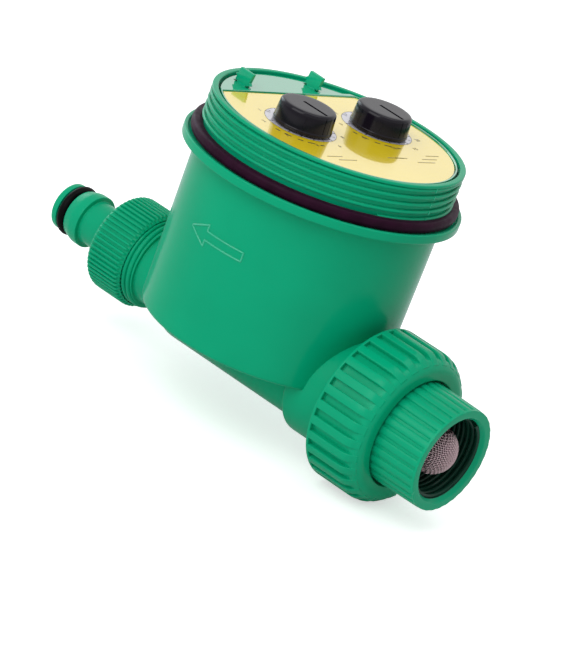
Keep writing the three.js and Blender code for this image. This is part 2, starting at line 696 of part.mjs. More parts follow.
function outletNut() {
  return piece('outlet_nut', turnX(closed([
    [outletNutRightX, outletNutBore],
    [outletNutLeftX + OUTLET_NUT_WALL, outletNutBore],
    [outletNutLeftX + OUTLET_NUT_WALL, NOZZLE_NECK_RADIUS + RUN],
    [outletNutLeftX, NOZZLE_NECK_RADIUS + RUN],
    [outletNutLeftX, OUTLET_NUT_RADIUS - OUTLET_NUT_SHOULDER],
    [outletNutLeftX + OUTLET_NUT_SHOULDER, OUTLET_NUT_RADIUS],
    [outletNutRightX, OUTLET_NUT_RADIUS],
  ]), MEDIUM), GREEN_SATIN);
}

function nozzle() {
  const tailRadius = outletNutBore - RUN - FIT;
  const catchX = outletNutLeftX - NOZZLE_NECK_LENGTH;
  const barrelX = catchX - NOZZLE_CATCH_LENGTH;
  const sealX = barrelX - NOZZLE_BARREL_LENGTH;
  const tipX = sealX - NOZZLE_SEAL_SECTION - 2 * FIT;
  const endX = tipX - NOZZLE_TIP_LENGTH;
  const grooveRadius = NOZZLE_SEAL_RADIUS - NOZZLE_SEAL_SECTION - FIT;
  const ring = new THREE.TorusGeometry(NOZZLE_SEAL_RADIUS - NOZZLE_SEAL_SECTION / 2,
    NOZZLE_SEAL_SECTION / 2, 6, COARSE);
  ring.rotateY(Math.PI / 2).translate((sealX + tipX) / 2, 0, 0);
  return [
    piece('nozzle', turnX(closed([
      [nozzleTailEndX, NOZZLE_BORE_RADIUS],
      [endX, NOZZLE_BORE_RADIUS],
      [endX, NOZZLE_BARREL_RADIUS - NOZZLE_EDGE],
      [endX + NOZZLE_EDGE, NOZZLE_BARREL_RADIUS],
      [tipX, NOZZLE_BARREL_RADIUS],
      [tipX, grooveRadius],
      [sealX, grooveRadius],
      [sealX, NOZZLE_BARREL_RADIUS],
      [barrelX, NOZZLE_CATCH_RADIUS],
      [catchX, NOZZLE_CATCH_RADIUS],
      [catchX, NOZZLE_NECK_RADIUS],
      [nozzleTailX, NOZZLE_NECK_RADIUS],
      [nozzleTailX, tailRadius],
      [nozzleTailEndX, tailRadius],
    ]), COARSE), GREEN_SATIN),
    piece('nozzle_seal', ring, BLACK_RUBBER),
  ];
}

function outlet() {
  const washerRadius = OUTLET_THREAD_RADIUS - STUB_THREAD_DEPTH;
  return [
    outletNut(),
    ...nozzle(),
    washer('outlet_washer', outletWasherX, washerRadius, NOZZLE_BORE_RADIUS + FIT),
  ];
}

// ---------------------------------------------------------------- valve

/** Seat ring hollowed to the ball's shape; side is -1 towards the outlet, +1 towards the inlet. */
function seat(name, side) {
  const outer = chamberRadius - FIT;
  const nearX = side * seatFaceX;
  const farX = side * (seatFaceX + SEAT_LENGTH);
  const lipX = side * Math.sqrt((BALL_RADIUS + FIT) ** 2 - WATERWAY_RADIUS ** 2);
  const nearRadius = Math.sqrt((BALL_RADIUS + 2 * FIT) ** 2 - seatFaceX ** 2);
  const ring = turnX(closed([
    [farX, WATERWAY_RADIUS],
    [farX, outer],
    [nearX, outer],
    [nearX, nearRadius],
    [lipX, WATERWAY_RADIUS],
  ]), COARSE);
  return piece(name, ring, SEAT_WHITE);
}

function valve() {
  const ball = build(
    new THREE.SphereGeometry(BALL_RADIUS, COARSE, SMALL).rotateX(Math.PI / 2),
    [],
    [
      rodX(WATERWAY_RADIUS, -2 * BALL_RADIUS, 2 * BALL_RADIUS, COARSE).rotateZ(Math.PI / 2),
      block([-BALL_SLOT_WIDTH / 2, BALL_SLOT_WIDTH / 2], [-BALL_RADIUS, BALL_RADIUS],
        [slotFloor, BALL_RADIUS + PAST]),
    ],
  );
  const tongueHalf = Math.sqrt(STEM_RADIUS ** 2 - (STEM_TONGUE_WIDTH / 2) ** 2);
  const stemTop = gearLevel(0) + GEAR_WIDTH;
  const stem = build(
    rod(STEM_RADIUS, BALL_RADIUS + FIT, stemTop, stemAxis, COARSE),
    [block([-STEM_TONGUE_WIDTH / 2, STEM_TONGUE_WIDTH / 2], [-tongueHalf, tongueHalf],
      [slotFloor + FIT, BALL_RADIUS + FIT + JOIN])],
  );
  const retainerRing = turnX(closed([
    [retainerX, WATERWAY_RADIUS + FIT],
    [retainerX, chamberRadius - FIT],
    [retainerX + RETAINER_LENGTH, chamberRadius - FIT],
    [retainerX + RETAINER_LENGTH, WATERWAY_RADIUS + FIT],
  ]), COARSE);
  const gland = turnZ(closed([
    [stemBore, glandZ],
    [glandBore - FIT, glandZ],
    [glandBore - FIT, stemBossTop],
    [stemBore, stemBossTop],
  ]), COARSE);
  const sealPitch = STEM_SEAL_SECTION + FIT;
  const seals = [1, 2].map((i) => {
    const centre = stemSealFloor + FIT + STEM_SEAL_SECTION / 2 + (i - 1) * sealPitch;
    return piece(`stem_seal_${i}`, ringZ(stemBore, STEM_SEAL_SECTION, centre), BLACK_RUBBER);
  });
  return [
    piece('valve_ball', ball, STEEL),
    piece('valve_stem', stem, BRASS),
    seat('outlet_seat', -1),
    seat('inlet_seat', 1),
    piece('seat_retainer', retainerRing, GREY_PLASTIC),
    piece('gland_ring', gland, GREY_PLASTIC),
    ...seals,
  ];
}

// ---------------------------------------------------------------- gearbox

const bearing = (from, to) => Math.atan2(to[1] - from[1], to[0] - from[0]);

/** A wheel at its place whose tooth points at its neighbour. */
function toothTowards(teeth, at, neighbour, level, boreRadius) {
  const outline = gearOutline(teeth, bearing(at, neighbour), boreRadius);
  return raise(outline, gearLevel(level), gearLevel(level) + GEAR_WIDTH, 8).translate(at[0], at[1], 0);
}

/** A wheel at its place whose tooth space points at its neighbour. */
function spaceTowards(teeth, at, neighbour, level, boreRadius) {
  const outline = gearOutline(teeth, bearing(at, neighbour) + Math.PI / teeth, boreRadius);
  return raise(outline, gearLevel(level), gearLevel(level) + GEAR_WIDTH, 8).translate(at[0], at[1], 0);
}

/** Sleeve that joins a compound gear's wheel and pinion. */
function sleeve(at, level, boreRadius) {
  const outline = new THREE.Shape().absarc(0, 0, boreRadius + GEAR_SLEEVE_WALL, 0, 2 * Math.PI, false);
  outline.holes.push(new THREE.Path().absarc(0, 0, boreRadius, 0, 2 * Math.PI, true));
  const low = gearLevel(level);
  const high = gearLevel(level + 1) + GEAR_WIDTH;
  return raise(outline, low, high, 8).translate(at[0], at[1], 0);
}

function gears() {
  const pinBore = GEAR_PIN_RADIUS + RUN;
  const compound = (at, pinionTo, wheelTo, pinionLevel) => build(
    toothTowards(PINION_TEETH, at, pinionTo, pinionLevel, pinBore),
    [
      spaceTowards(WHEEL_TEETH, at, wheelTo, pinionLevel + 1, pinBore),
      sleeve(at, pinionLevel, pinBore),
    ],
  );
  const stemWheel = spaceTowards(WHEEL_TEETH, stemAxis, middleAxis, 0, STEM_RADIUS + FIT);
  const motorPinion = toothTowards(PINION_TEETH, motorAxis, firstAxis, 2, MOTOR_SHAFT_RADIUS + FIT);
  const motorTop = gearboxFloorZ - FIT;
  const shaft = rod(MOTOR_SHAFT_RADIUS, motorTop - MOTOR_SHAFT_SINK,
    gearLevel(2) + GEAR_WIDTH, motorAxis, SMALL);
  return [
    piece('valve_gear', stemWheel, WHITE_ACETAL),
    piece('middle_gear', compound(middleAxis, stemAxis, firstAxis, 0), WHITE_ACETAL),
    piece('first_gear', compound(firstAxis, middleAxis, motorAxis, 1), WHITE_ACETAL),
    piece('motor_pinion', motorPinion, BRASS),
    piece('motor_shaft', shaft, STEEL),
  ];
}

/** Discs around each gear axis, with the two screw lugs. */
function gearboxDiscs(shrink, low, high) {
  const around = wheelRoom + GEARBOX_WALL - shrink;
  return [
    rod(around, low, high, stemAxis, COARSE),
    rod(around, low, high, middleAxis, COARSE),
    rod(around, low, high, firstAxis, COARSE),
    rod(MOTOR_RADIUS + GEARBOX_WALL - shrink, low, high, motorAxis, COARSE),
  ];
}

function gearboxCase() {
  const lugs = (low, high) => lugAxes.map((at) => rod(GEARBOX_LUG_RADIUS, low, high, at, SMALL));
  const holes = lugAxes.map((at) => (
    rod(SCREW_RADIUS + FIT, gearboxFloorZ - PAST, gearboxTopZ + PAST, at, SMALL)
  ));
  const pinHoles = [middleAxis, firstAxis].map((at) => (
    rod(GEAR_PIN_RADIUS + FIT, gearboxFloorZ + GEAR_PIN_SINK,
      gearRoofZ + GEAR_PIN_SINK, at, SMALL)
  ));
  const [baseDisc, ...baseDiscs] = gearboxDiscs(0, gearboxFloorZ, gearFloorZ);
  const base = build(
    baseDisc,
    [...baseDiscs, ...lugs(gearboxFloorZ, gearFloorZ)],
    [
      ...holes,
      ...pinHoles,
      rod(STEM_RADIUS + RUN, 0, gearFloorZ + PAST, stemAxis, COARSE),
      rod(MOTOR_SHAFT_RADIUS + RUN, 0, gearFloorZ + PAST, motorAxis, SMALL),
    ],
  );
  const lidFloor = gearFloorZ + FIT;
  const [lidDisc, ...lidDiscs] = gearboxDiscs(0, lidFloor, gearboxTopZ);
  const lid = build(
    lidDisc,
    [...lidDiscs, ...lugs(lidFloor, gearboxTopZ)],
    [...gearboxDiscs(GEARBOX_WALL, 0, gearRoofZ), ...holes, ...pinHoles],
  );
  const pins = [['middle_gear_pin', middleAxis], ['first_gear_pin', firstAxis]].map(([name, at]) => (
    piece(name, rod(GEAR_PIN_RADIUS, gearboxFloorZ + GEAR_PIN_SINK + FIT,
      gearRoofZ + GEAR_PIN_SINK - FIT, at, SMALL), STEEL)
  ));
  return [
    piece('gearbox_base', base, BLACK_PLASTIC),
    piece('gearbox_lid', lid, BLACK_PLASTIC),
    ...pins,
  ];
}

function motor() {
  const top = gearboxFloorZ - FIT;
  const can = rod(MOTOR_RADIUS, top - MOTOR_LENGTH, top, motorAxis, COARSE);
  const bore = rod(MOTOR_SHAFT_RADIUS + RUN, top - MOTOR_SHAFT_SINK - RUN, top + PAST, motorAxis, SMALL);
  return piece('motor', build(can, [], [bore]), STEEL);
}

/** A pan-head screw; direction 1 has its head on top, -1 underneath. */
function screw(name, [x, y], seatZ, length, direction) {
  const shank = rod(SCREW_RADIUS, -length, SCREW_HEAD_HEIGHT / 2, [0, 0], SMALL);
  const head = rod(SCREW_HEAD_RADIUS, 0, SCREW_HEAD_HEIGHT, [0, 0], SMALL);
  const geometry = build(shank, [head]);
  if (direction < 0) geometry.rotateX(Math.PI);
  return piece(name, geometry.translate(x, y, seatZ + direction * FIT), STEEL);
}

function gearbox() {
  const screwLength = gearboxTopZ - gearboxFloorZ + GEARBOX_SCREW_BITE;
  return [
    ...gearboxCase(),
    ...gears(),
    motor(),
    ...lugAxes.map((at, i) => screw(`gearbox_screw_${i + 1}`, at, gearboxTopZ, screwLength, 1)),
  ];
}

// ---------------------------------------------------------------- panel and electronics

const knobCentres = [[KNOB_X, -KNOB_SPACING / 2], [KNOB_X, KNOB_SPACING / 2]];

function controlPanel() {
  const plate = raise(roundAfterChord(panelRadius, panelChord), panelZ, panelTop);
  const posts = BOARD_POSTS.map((at) => (
    rod(BOARD_POST_RADIUS, boardTop + FIT, panelZ + JOIN, at, SMALL)
  ));
  const recess = raise(roundAfterChord(labelRadius + FIT, labelChord - FIT),
    labelTop - LABEL_THICKNESS - FIT, panelTop + PAST);
  const shaftHoles = knobCentres.map((at) => (
    rod(SHAFT_RADIUS + 2 * RUN, panelZ - PAST, panelTop + PAST, at, COARSE)
  ));
  const screwHoles = BOARD_POSTS.map((at) => (
    rod(SCREW_RADIUS + FIT, boardTop, panelZ, at, SMALL)
  ));
  return piece('control_panel', build(plate, posts, [recess, ...shaftHoles, ...screwHoles]),
    GREEN_GLOSS);
}

function label() {
  const outline = roundAfterChord(labelRadius, labelChord);
  for (const [x, y] of knobCentres) {
    outline.holes.push(new THREE.Path().absarc(x, y, SHAFT_RADIUS + 2 * RUN, 0, 2 * Math.PI, true));
  }
  return piece('panel_label', raise(outline, labelTop - LABEL_THICKNESS, labelTop), LABEL_YELLOW);
}

function knob(name, [x, y]) {
  const foot = labelTop + KNOB_LIFT;
  const socket = SHAFT_RADIUS + FIT;
  const body = turnZ([
    [0, SHAFT_ENGAGEMENT + FIT],
    [socket, SHAFT_ENGAGEMENT + FIT],
    [socket, 0],
    [socket + KNOB_WALL, 0],
    [socket + KNOB_WALL, KNOB_SKIRT_DEPTH],
    [KNOB_TOP_RADIUS - KNOB_WALL, KNOB_SKIRT_DEPTH],
    [KNOB_BASE_RADIUS - KNOB_WALL, 0],
    [KNOB_BASE_RADIUS, 0],
    [KNOB_TOP_RADIUS, KNOB_HEIGHT - KNOB_EDGE],
    [KNOB_TOP_RADIUS - KNOB_EDGE, KNOB_HEIGHT],
    [0, KNOB_HEIGHT],
  ], MEDIUM);
  const pointer = block([POINTER_START, POINTER_END], [-POINTER_WIDTH / 2, POINTER_WIDTH / 2],
    [KNOB_HEIGHT - POINTER_DEPTH, KNOB_HEIGHT + PAST]);
  const geometry = build(body, [], [pointer]).rotateZ(degrees(POINTER_ANGLE));
  return piece(name, geometry.translate(x, y, foot), KNOB_CHARCOAL);
}

function potentiometer(name, [x, y]) {
  const can = rod(POT_RADIUS, boardTop + FIT, boardTop + FIT + POT_HEIGHT, [x, y], COARSE);
  const bore = rod(SHAFT_RADIUS + RUN, shaftFoot - FIT, boardTop + 2 * POT_HEIGHT, [x, y], COARSE);
  return piece(name, build(can, [], [bore]), GREY_PLASTIC);
}

function circuitBoard() {
  const plate = raise(roundAfterChord(boardRadius, boardChord), boardTop - BOARD_THICKNESS, boardTop);
  const holes = BOARD_POSTS.map((at) => (
    rod(SCREW_RADIUS + FIT, boardTop - BOARD_THICKNESS - PAST, boardTop + PAST, at, SMALL)
  ));
  return piece('circuit_board', build(plate, [], holes), BOARD_GREEN);
}

function electronics() {
  const boardBottom = boardTop - BOARD_THICKNESS;
  const seatZ = boardTop + FIT;
  const chip = block([CHIP_X - CHIP_LENGTH / 2, CHIP_X + CHIP_LENGTH / 2],
    [-CHIP_WIDTH / 2, CHIP_WIDTH / 2], [seatZ, seatZ + CHIP_HEIGHT]);
  const capacitor = rod(CAPACITOR_RADIUS, seatZ, seatZ + CAPACITOR_HEIGHT, [CAPACITOR_X, 0], SMALL);
  const sides = ['left', 'right'];
  return [
    circuitBoard(),
    piece('control_chip', chip, BLACK_PLASTIC),
    piece('capacitor', capacitor, BLACK_PLASTIC),
    ...sides.map((side, i) => potentiometer(`${side}_potentiometer`, knobCentres[i])),
    ...sides.map((side, i) => piece(`${side}_knob_shaft`,
      rod(SHAFT_RADIUS, shaftFoot, shaftTop, knobCentres[i], COARSE), GREY_PLASTIC)),
    ...BOARD_POSTS.map((at, i) => screw(`board_screw_${i + 1}`, at, boardBottom,
      BOARD_SCREW_LENGTH, -1)),
  ];
}

function panel() {
  return [
    controlPanel(),
    label(),
    knob('left_knob', knobCentres[0]),
    knob('right_knob', knobCentres[1]),
    ...electronics(),
  ];
}

// ---------------------------------------------------------------- battery bay

/** One upright cell with its nub on top, or turned over. */
function cell(name, y, nubUp) {
  const geometry = turnZ([
    [0, 0],
    [CELL_RADIUS, 0],
    [CELL_RADIUS, CELL_LENGTH],
    [CELL_NUB_RADIUS, CELL_LENGTH],
    [CELL_NUB_RADIUS, CELL_LENGTH + CELL_NUB_HEIGHT],
    [0, CELL_LENGTH + CELL_NUB_HEIGHT],
  ], COARSE);
  if (!nubUp) geometry.rotateX(Math.PI).translate(0, 0, CELL_LENGTH + CELL_NUB_HEIGHT);
  return piece(name, geometry.translate(cellX, y, cellZ), CELL_JACKET);
}

const keeperReach = latchY - LATCH_THICKNESS / 2 - LATCH_HOOK - FIT;

/** Three-sided chute for the cells; the bucket's wall closes its back. */
function batteryChute() {
  const backX = -Math.sqrt((bucketBore - FIT) ** 2 - chuteOuterHalf ** 2);
  const frontX = chuteFrontX + CHUTE_WALL;
  const top = panelZ - FIT;
  const shell = block([backX, frontX], [-chuteOuterHalf, chuteOuterHalf], [chuteZ, top]);
  const hollow = block([backX - PAST, chuteFrontX], [-chuteHalf, chuteHalf],
    [chuteZ + CHUTE_FLOOR, top + PAST]);
  const keeperZ = panelZ - LATCH_LEG + LATCH_HOOK_HEIGHT + FIT;
  const keepers = [-1, 1].map((side) => {
    const reach = [side * (chuteOuterHalf - JOIN), side * keeperReach].sort((a, b) => a - b);
    const span = [latchX - LATCH_WIDTH / 2, latchX + LATCH_WIDTH / 2];
    return block(span, reach, [keeperZ, keeperZ + KEEPER_THICKNESS]);
  });
  return piece('battery_chute', build(shell, keepers, [hollow]), BLACK_PLASTIC);
}

/** A helical spring contact drawn along its wire. */
class Helix extends THREE.Curve {
  constructor(bottomRadius, topRadius, turns, height) {
    super();
    Object.assign(this, { bottomRadius, topRadius, turns, height });
  }

  getPoint(t, target = new THREE.Vector3()) {
    const angle = 2 * Math.PI * this.turns * t;
    const radius = this.bottomRadius + (this.topRadius - this.bottomRadius) * t;
    return target.set(radius * Math.cos(angle), radius * Math.sin(angle), this.height * t);
  }
}

function springContact() {
  const rise = SPRING_ROOM - 2 * SPRING_WIRE_RADIUS - 2 * FIT;
  const helix = new Helix(CELL_RADIUS - SPRING_MARGIN, SPRING_TOP_RADIUS, SPRING_TURNS, rise);
  const section = new THREE.Shape().absarc(0, 0, SPRING_WIRE_RADIUS, 0, 2 * Math.PI, false);
  const wire = new THREE.ExtrudeGeometry(section, {
    extrudePath: helix, steps: SPRING_TURNS * 10, curveSegments: 3, bevelEnabled: false,
  });
  const foot = chuteZ + CHUTE_FLOOR + FIT + SPRING_WIRE_RADIUS;
  return piece('spring_contact', wire.translate(cellX, -cellY, foot), STEEL);
}

function contacts() {
  const half = CELL_RADIUS - CONTACT_MARGIN;
  const flat = (y) => [[cellX - half, cellX + half], [y - half, y + half]];
  const floor = chuteZ + CHUTE_FLOOR + FIT;
  const post = rod(CONTACT_POST_RADIUS, floor, cellZ - FIT, [cellX, cellY], SMALL);
  const plate = build(block(...flat(cellY), [floor, floor + CONTACT_PLATE]), [post]);
  return [springContact(), piece('plate_contact', plate, STEEL)];
}

/** Outline corners of a latch seen along the panel's X, for the side at +Y. */
function latchOutline() {
  const half = LATCH_THICKNESS / 2;
  const foot = panelZ - LATCH_LEG;
  const outline = new THREE.Shape();
  outline.moveTo(-half, coverTop + LATCH_RISE);
  outline.lineTo(half, coverTop + LATCH_RISE);
  outline.lineTo(half, foot);
  outline.lineTo(-half, foot);
  outline.lineTo(-half - LATCH_HOOK, foot + LATCH_HOOK_TIP);
  outline.lineTo(-half, foot + LATCH_HOOK_HEIGHT);
  outline.closePath();
  return outline;
}

/** A sprung latch: finger tab above the cover, leg and hook below it. */
function latch(name, side) {
  const blade = raise(latchOutline(), -LATCH_WIDTH / 2, LATCH_WIDTH / 2)
    .rotateX(Math.PI / 2).rotateZ(Math.PI / 2);
  const fin = block([-LATCH_WIDTH / 2, -LATCH_WIDTH / 2 + LATCH_THICKNESS],
    [-LATCH_THICKNESS / 2, LATCH_THICKNESS / 2 + LATCH_FIN],
    [coverTop + 2 * FIT, coverTop + LATCH_RISE]);
  const geometry = build(blade, [fin]);
  if (side < 0) geometry.scale(1, -1, 1);
  return piece(name, geometry.translate(latchX, side * latchY, 0), GREEN_SATIN);
}

function batteryCover() {
  const plate = raise(roundBeforeChord(panelRadius, coverChord), panelZ, coverTop);
  const slots = [-1, 1].map((side) => {
    const y = side * latchY;
    const halfWidth = LATCH_WIDTH / 2 + RUN;
    const halfGap = LATCH_THICKNESS / 2 + RUN;
    return block([latchX - halfWidth, latchX + halfWidth], [y - halfGap, y + halfGap],
      [panelZ - PAST, coverTop + PAST]);
  });
  const bridgeTop = panelZ - FIT;
  const bridgeHalf = CELL_RADIUS - CONTACT_MARGIN;
  const bridge = block([cellX - bridgeHalf, cellX + bridgeHalf],
    [-cellY - bridgeHalf, cellY + bridgeHalf], [bridgeTop - CONTACT_PLATE, bridgeTop]);
  return [
    piece('battery_cover', build(plate, [], slots), GREEN_GLOSS),
    piece('bridge_contact', bridge, STEEL),
  ];
}

function batteryBay() {
  return [
    batteryChute(),
    cell('cell_1', -cellY, true),
    cell('cell_2', cellY, false),
    ...contacts(),
    ...batteryCover(),
    latch('left_latch', -1),
    latch('right_latch', 1),
  ];
}

// ---------------------------------------------------------------- assembly

const turnedFrame = new THREE.Group();
turnedFrame.rotation.z = degrees(PANEL_TURN);
turnedFrame.add(...panel(), ...batteryBay());

const timer = new THREE.Group();
timer.name = 'drip_irrigation_timer';
timer.position.x = -inletFaceX;
timer.add(...housing(), ...inlet(), ...outlet(), ...valve(), ...gearbox(), turnedFrame);

export default timer;
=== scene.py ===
"""Looks of a drip irrigation timer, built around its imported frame.

Sizes in the classes are millimetres. Meshes are made in metres, in the frame's own axes: +X along
the pipe towards the tap, +Z up along the bucket, origin at the centre of the inlet's end face.
"""

import json
import logging
import math
from dataclasses import dataclass
from enum import Enum
from typing import Callable, Iterable, Sequence

import bmesh
import bpy
from mathutils import Matrix, Vector


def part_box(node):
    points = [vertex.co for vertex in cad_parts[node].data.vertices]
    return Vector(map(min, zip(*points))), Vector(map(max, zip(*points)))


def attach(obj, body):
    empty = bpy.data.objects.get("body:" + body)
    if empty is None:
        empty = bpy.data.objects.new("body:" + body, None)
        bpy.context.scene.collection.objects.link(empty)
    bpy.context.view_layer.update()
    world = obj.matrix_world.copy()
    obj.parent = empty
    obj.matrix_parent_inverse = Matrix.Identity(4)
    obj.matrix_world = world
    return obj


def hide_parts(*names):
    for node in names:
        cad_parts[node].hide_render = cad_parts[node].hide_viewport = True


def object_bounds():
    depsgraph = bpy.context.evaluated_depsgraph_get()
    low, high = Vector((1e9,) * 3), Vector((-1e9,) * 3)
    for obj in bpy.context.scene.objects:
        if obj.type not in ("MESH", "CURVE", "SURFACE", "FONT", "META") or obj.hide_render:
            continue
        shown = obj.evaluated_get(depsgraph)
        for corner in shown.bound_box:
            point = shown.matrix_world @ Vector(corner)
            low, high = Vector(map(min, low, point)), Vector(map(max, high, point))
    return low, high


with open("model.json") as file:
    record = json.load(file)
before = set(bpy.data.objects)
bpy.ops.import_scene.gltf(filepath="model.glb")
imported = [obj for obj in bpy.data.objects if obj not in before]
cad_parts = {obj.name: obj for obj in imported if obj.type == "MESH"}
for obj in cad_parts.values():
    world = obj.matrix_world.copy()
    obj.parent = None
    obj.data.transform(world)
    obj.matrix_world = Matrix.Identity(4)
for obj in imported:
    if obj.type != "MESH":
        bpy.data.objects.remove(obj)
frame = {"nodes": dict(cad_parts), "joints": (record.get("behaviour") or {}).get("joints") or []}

MM = 0.001
LEVEL = 0.999  # least upward part of a level face's normal
FACET_SHIFT = 0.37  # part of a facet by which turned solids start off zero
LONGEST_CUT = 0.45  # largest share of a side that a rounding takes
LOG = logging.getLogger("drip_timer")
CAD_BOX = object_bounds()

Corner = tuple[float, float, float]  # along, radius, rounding
Point = tuple[float, float]
Row = tuple[float, float, float]
Colour = tuple[float, float, float]
Object = bpy.types.Object


# ---------------------------------------------------------------- places taken from the frame


def middle(node: str) -> Vector:
    """Centre of a CAD node's box, in millimetres."""
    low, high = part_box(node)
    return (low + high) / 2 / MM


def top_of(node: str) -> float:
    """Height of a CAD node's top, in millimetres."""
    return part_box(node)[1].z / MM


def joint_point(name: str) -> Vector:
    """Place of a joint, in millimetres."""
    found = next(joint for joint in frame["joints"] if joint["name"] == name)
    return Vector(found["pos_m"]) / MM


BUCKET_X = middle("valve_stem").x
LEFT_DIAL = joint_point("left_knob_turn")
RIGHT_DIAL = joint_point("right_knob_turn")
DIAL_LINE = RIGHT_DIAL - LEFT_DIAL
PANEL_TURN = math.atan2(-DIAL_LINE.x, DIAL_LINE.y)
PANEL_PLACE = Matrix.Translation((BUCKET_X * MM, 0, 0)) @ Matrix.Rotation(PANEL_TURN, 4, "Z")


class Axis(Enum):
    """The two lines that turned pieces are turned about."""

    PIPE = "pipe"
    BUCKET = "bucket"


class Way(Enum):
    """How a solid is combined with another."""

    JOIN = "UNION"
    CUT = "DIFFERENCE"


# ---------------------------------------------------------------- mesh tools


def linked(name: str, data: bpy.types.ID) -> Object:
    """Makes an object of some data and links it to the scene.

    Args:
        name: the object's name.
        data: its mesh, curve, lamp or camera.

    Returns:
        The new object.
    """
    made = bpy.data.objects.new(name, data)
    bpy.context.scene.collection.objects.link(made)
    return made


def mesh_object(name: str, points: Iterable[Sequence[float]], faces: Iterable[Sequence[int]],
                edges: Iterable[Sequence[int]] = ()) -> Object:
    """Makes an object at the origin from points in metres.

    Args:
        name: the object's name.
        points: its vertices.
        faces: its faces, as vertex numbers.
        edges: loose edges, for wires.

    Returns:
        The new object, linked to the scene.
    """
    mesh = bpy.data.meshes.new(name)
    mesh.from_pydata([tuple(p) for p in points], [tuple(e) for e in edges], [tuple(f) for f in faces])
    mesh.update()
    return linked(name, mesh)


def outward(target: Object, merge: float = 0.0) -> Object:
    """Turns the faces of closed shells outwards.

    Args:
        target: the object to mend.
        merge: distance in metres under which vertices are merged first; 0 merges none.

    Returns:
        The same object.
    """
    shape = bmesh.new()
    shape.from_mesh(target.data)
    if merge > 0:
        bmesh.ops.remove_doubles(shape, verts=shape.verts, dist=merge)
    bmesh.ops.recalc_face_normals(shape, faces=shape.faces)
    shape.to_mesh(target.data)
    shape.free()
    return target


def smoothed(target: Object, sharp_degrees: float = 32.0) -> Object:
    """Shades an object smooth, with edges sharper than an angle kept crisp.

    Args:
        target: the object, changed in place.
        sharp_degrees: the least angle of a crisp edge.

    Returns:
        The same object.
    """
    flags = [True] * len(target.data.polygons)
    target.data.polygons.foreach_set("use_smooth", flags)
    target.data.set_sharp_from_angle(angle=math.radians(sharp_degrees))
    return target


def baked(target: Object) -> Object:
    """Replaces an object's mesh by its evaluated one and removes its modifiers.

    Args:
        target: the object, changed in place.

    Returns:
        The same object.
    """
    depsgraph = bpy.context.evaluated_depsgraph_get()
    mesh = bpy.data.meshes.new_from_object(target.evaluated_get(depsgraph))
    target.modifiers.clear()
    old = target.data
    target.data = mesh
    bpy.data.meshes.remove(old)
    return target


def combined(base: Object, tools: Sequence[Object], way: Way) -> Object:
    """Joins solids to a base, or cuts them out of it.

    Args:
        base: the solid that is kept.
        tools: the other solids, which are removed afterwards.
        way: join or cut.

    Returns:
        The base with its new mesh.
    """
    for tool in tools:
        step = base.modifiers.new("combine", "BOOLEAN")
        step.operation = way.value
        step.solver = "EXACT"
        step.object = tool
    baked(base)
    for tool in tools:
        bpy.data.objects.remove(tool)
    return base


def gathered(name: str, parts: Sequence[Object]) -> Object:
    """Puts several objects' meshes into one object, with one material slot for each material.

    Args:
        name: the new object's name.
        parts: the objects, which are removed afterwards.

    Returns:
        The new object.
    """
    shape = bmesh.new()
    materials: list[bpy.types.Material] = []
    for part in parts:
        start = len(shape.faces)
        shape.from_mesh(part.data)
        shape.faces.ensure_lookup_table()
        own = [material for material in part.data.materials if material]
        for material in own:
            if material not in materials:
                materials.append(material)
        for face in shape.faces[start:]:
            if own:
                face.material_index = materials.index(own[min(face.material_index, len(own) - 1)])
    mesh = bpy.data.meshes.new(name)
    shape.to_mesh(mesh)
    shape.free()
    for material in materials:
        mesh.materials.append(material)
    for part in parts:
        bpy.data.objects.remove(part)
    return linked(name, mesh)


def coated(target: Object, material: bpy.types.Material) -> Object:
    """Gives an object one material.

    Args:
        target: the object, changed in place.
        material: its finish.

    Returns:
        The same object.
    """
    target.data.materials.clear()
    target.data.materials.append(material)
    target.data.polygons.foreach_set("material_index", [0] * len(target.data.polygons))
    return target


def settled(piece: Object, body: str, nodes: Sequence[str] = ()) -> Object:
    """Attaches a finished piece to its CAD body, hides the nodes it stands for and logs it.

    Args:
        piece: the finished object.
        body: the CAD body it rides on.
        nodes: the CAD nodes it stands for.

    Returns:
        The piece.
    """
    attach(piece, body)
    if nodes:
        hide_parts(*nodes)
    LOG.info("%s: %d faces on %s", piece.name, len(piece.data.polygons), body)
    return piece


def rounded(corners: Sequence[Corner], closed: bool, steps: int = 5) -> list[Point]:
    """Rounds the corners of a profile.

    Args:
        corners: (along, radius, rounding) for each corner.
        closed: whether the last corner is joined to the first.
        steps: how many stretches a rounded corner has.

    Returns:
        The profile's points as (along, radius).
    """
    points: list[Point] = []
    count = len(corners)
    for i, (along, radius, rounding) in enumerate(corners):
        if rounding <= 0 or (not closed and i in (0, count - 1)):
            points.append((along, radius))
            continue
        here = Vector((along, radius))
        before = Vector(corners[i - 1][:2]) - here
        after = Vector(corners[(i + 1) % count][:2]) - here
        start = here + before.normalized() * min(rounding, LONGEST_CUT * before.length)
        end = here + after.normalized() * min(rounding, LONGEST_CUT * after.length)
        for k in range(steps + 1):
            t = k / steps
            bend = start * (1 - t) ** 2 + here * 2 * t * (1 - t) + end * t * t
            points.append((bend.x, bend.y))
    return points


def spaced(points: Sequence[Point], longest: float, closed: bool) -> list[Point]:
    """Splits a profile's long stretches so that none is longer than a given length.

    Args:
        points: the profile.
        longest: the longest stretch that is left whole.
        closed: whether the last point is joined to the first.

    Returns:
        The profile with the points added.
    """
    result: list[Point] = []
    following = list(points[1:]) + ([points[0]] if closed else [])
    for here, there in zip(points, following):
        parts = max(1, math.ceil(math.dist(here, there) / longest))
        for k in range(parts):
            t = k / parts
            result.append((here[0] + (there[0] - here[0]) * t, here[1] + (there[1] - here[1]) * t))
    if not closed:
        result.append(points[-1])
    return result


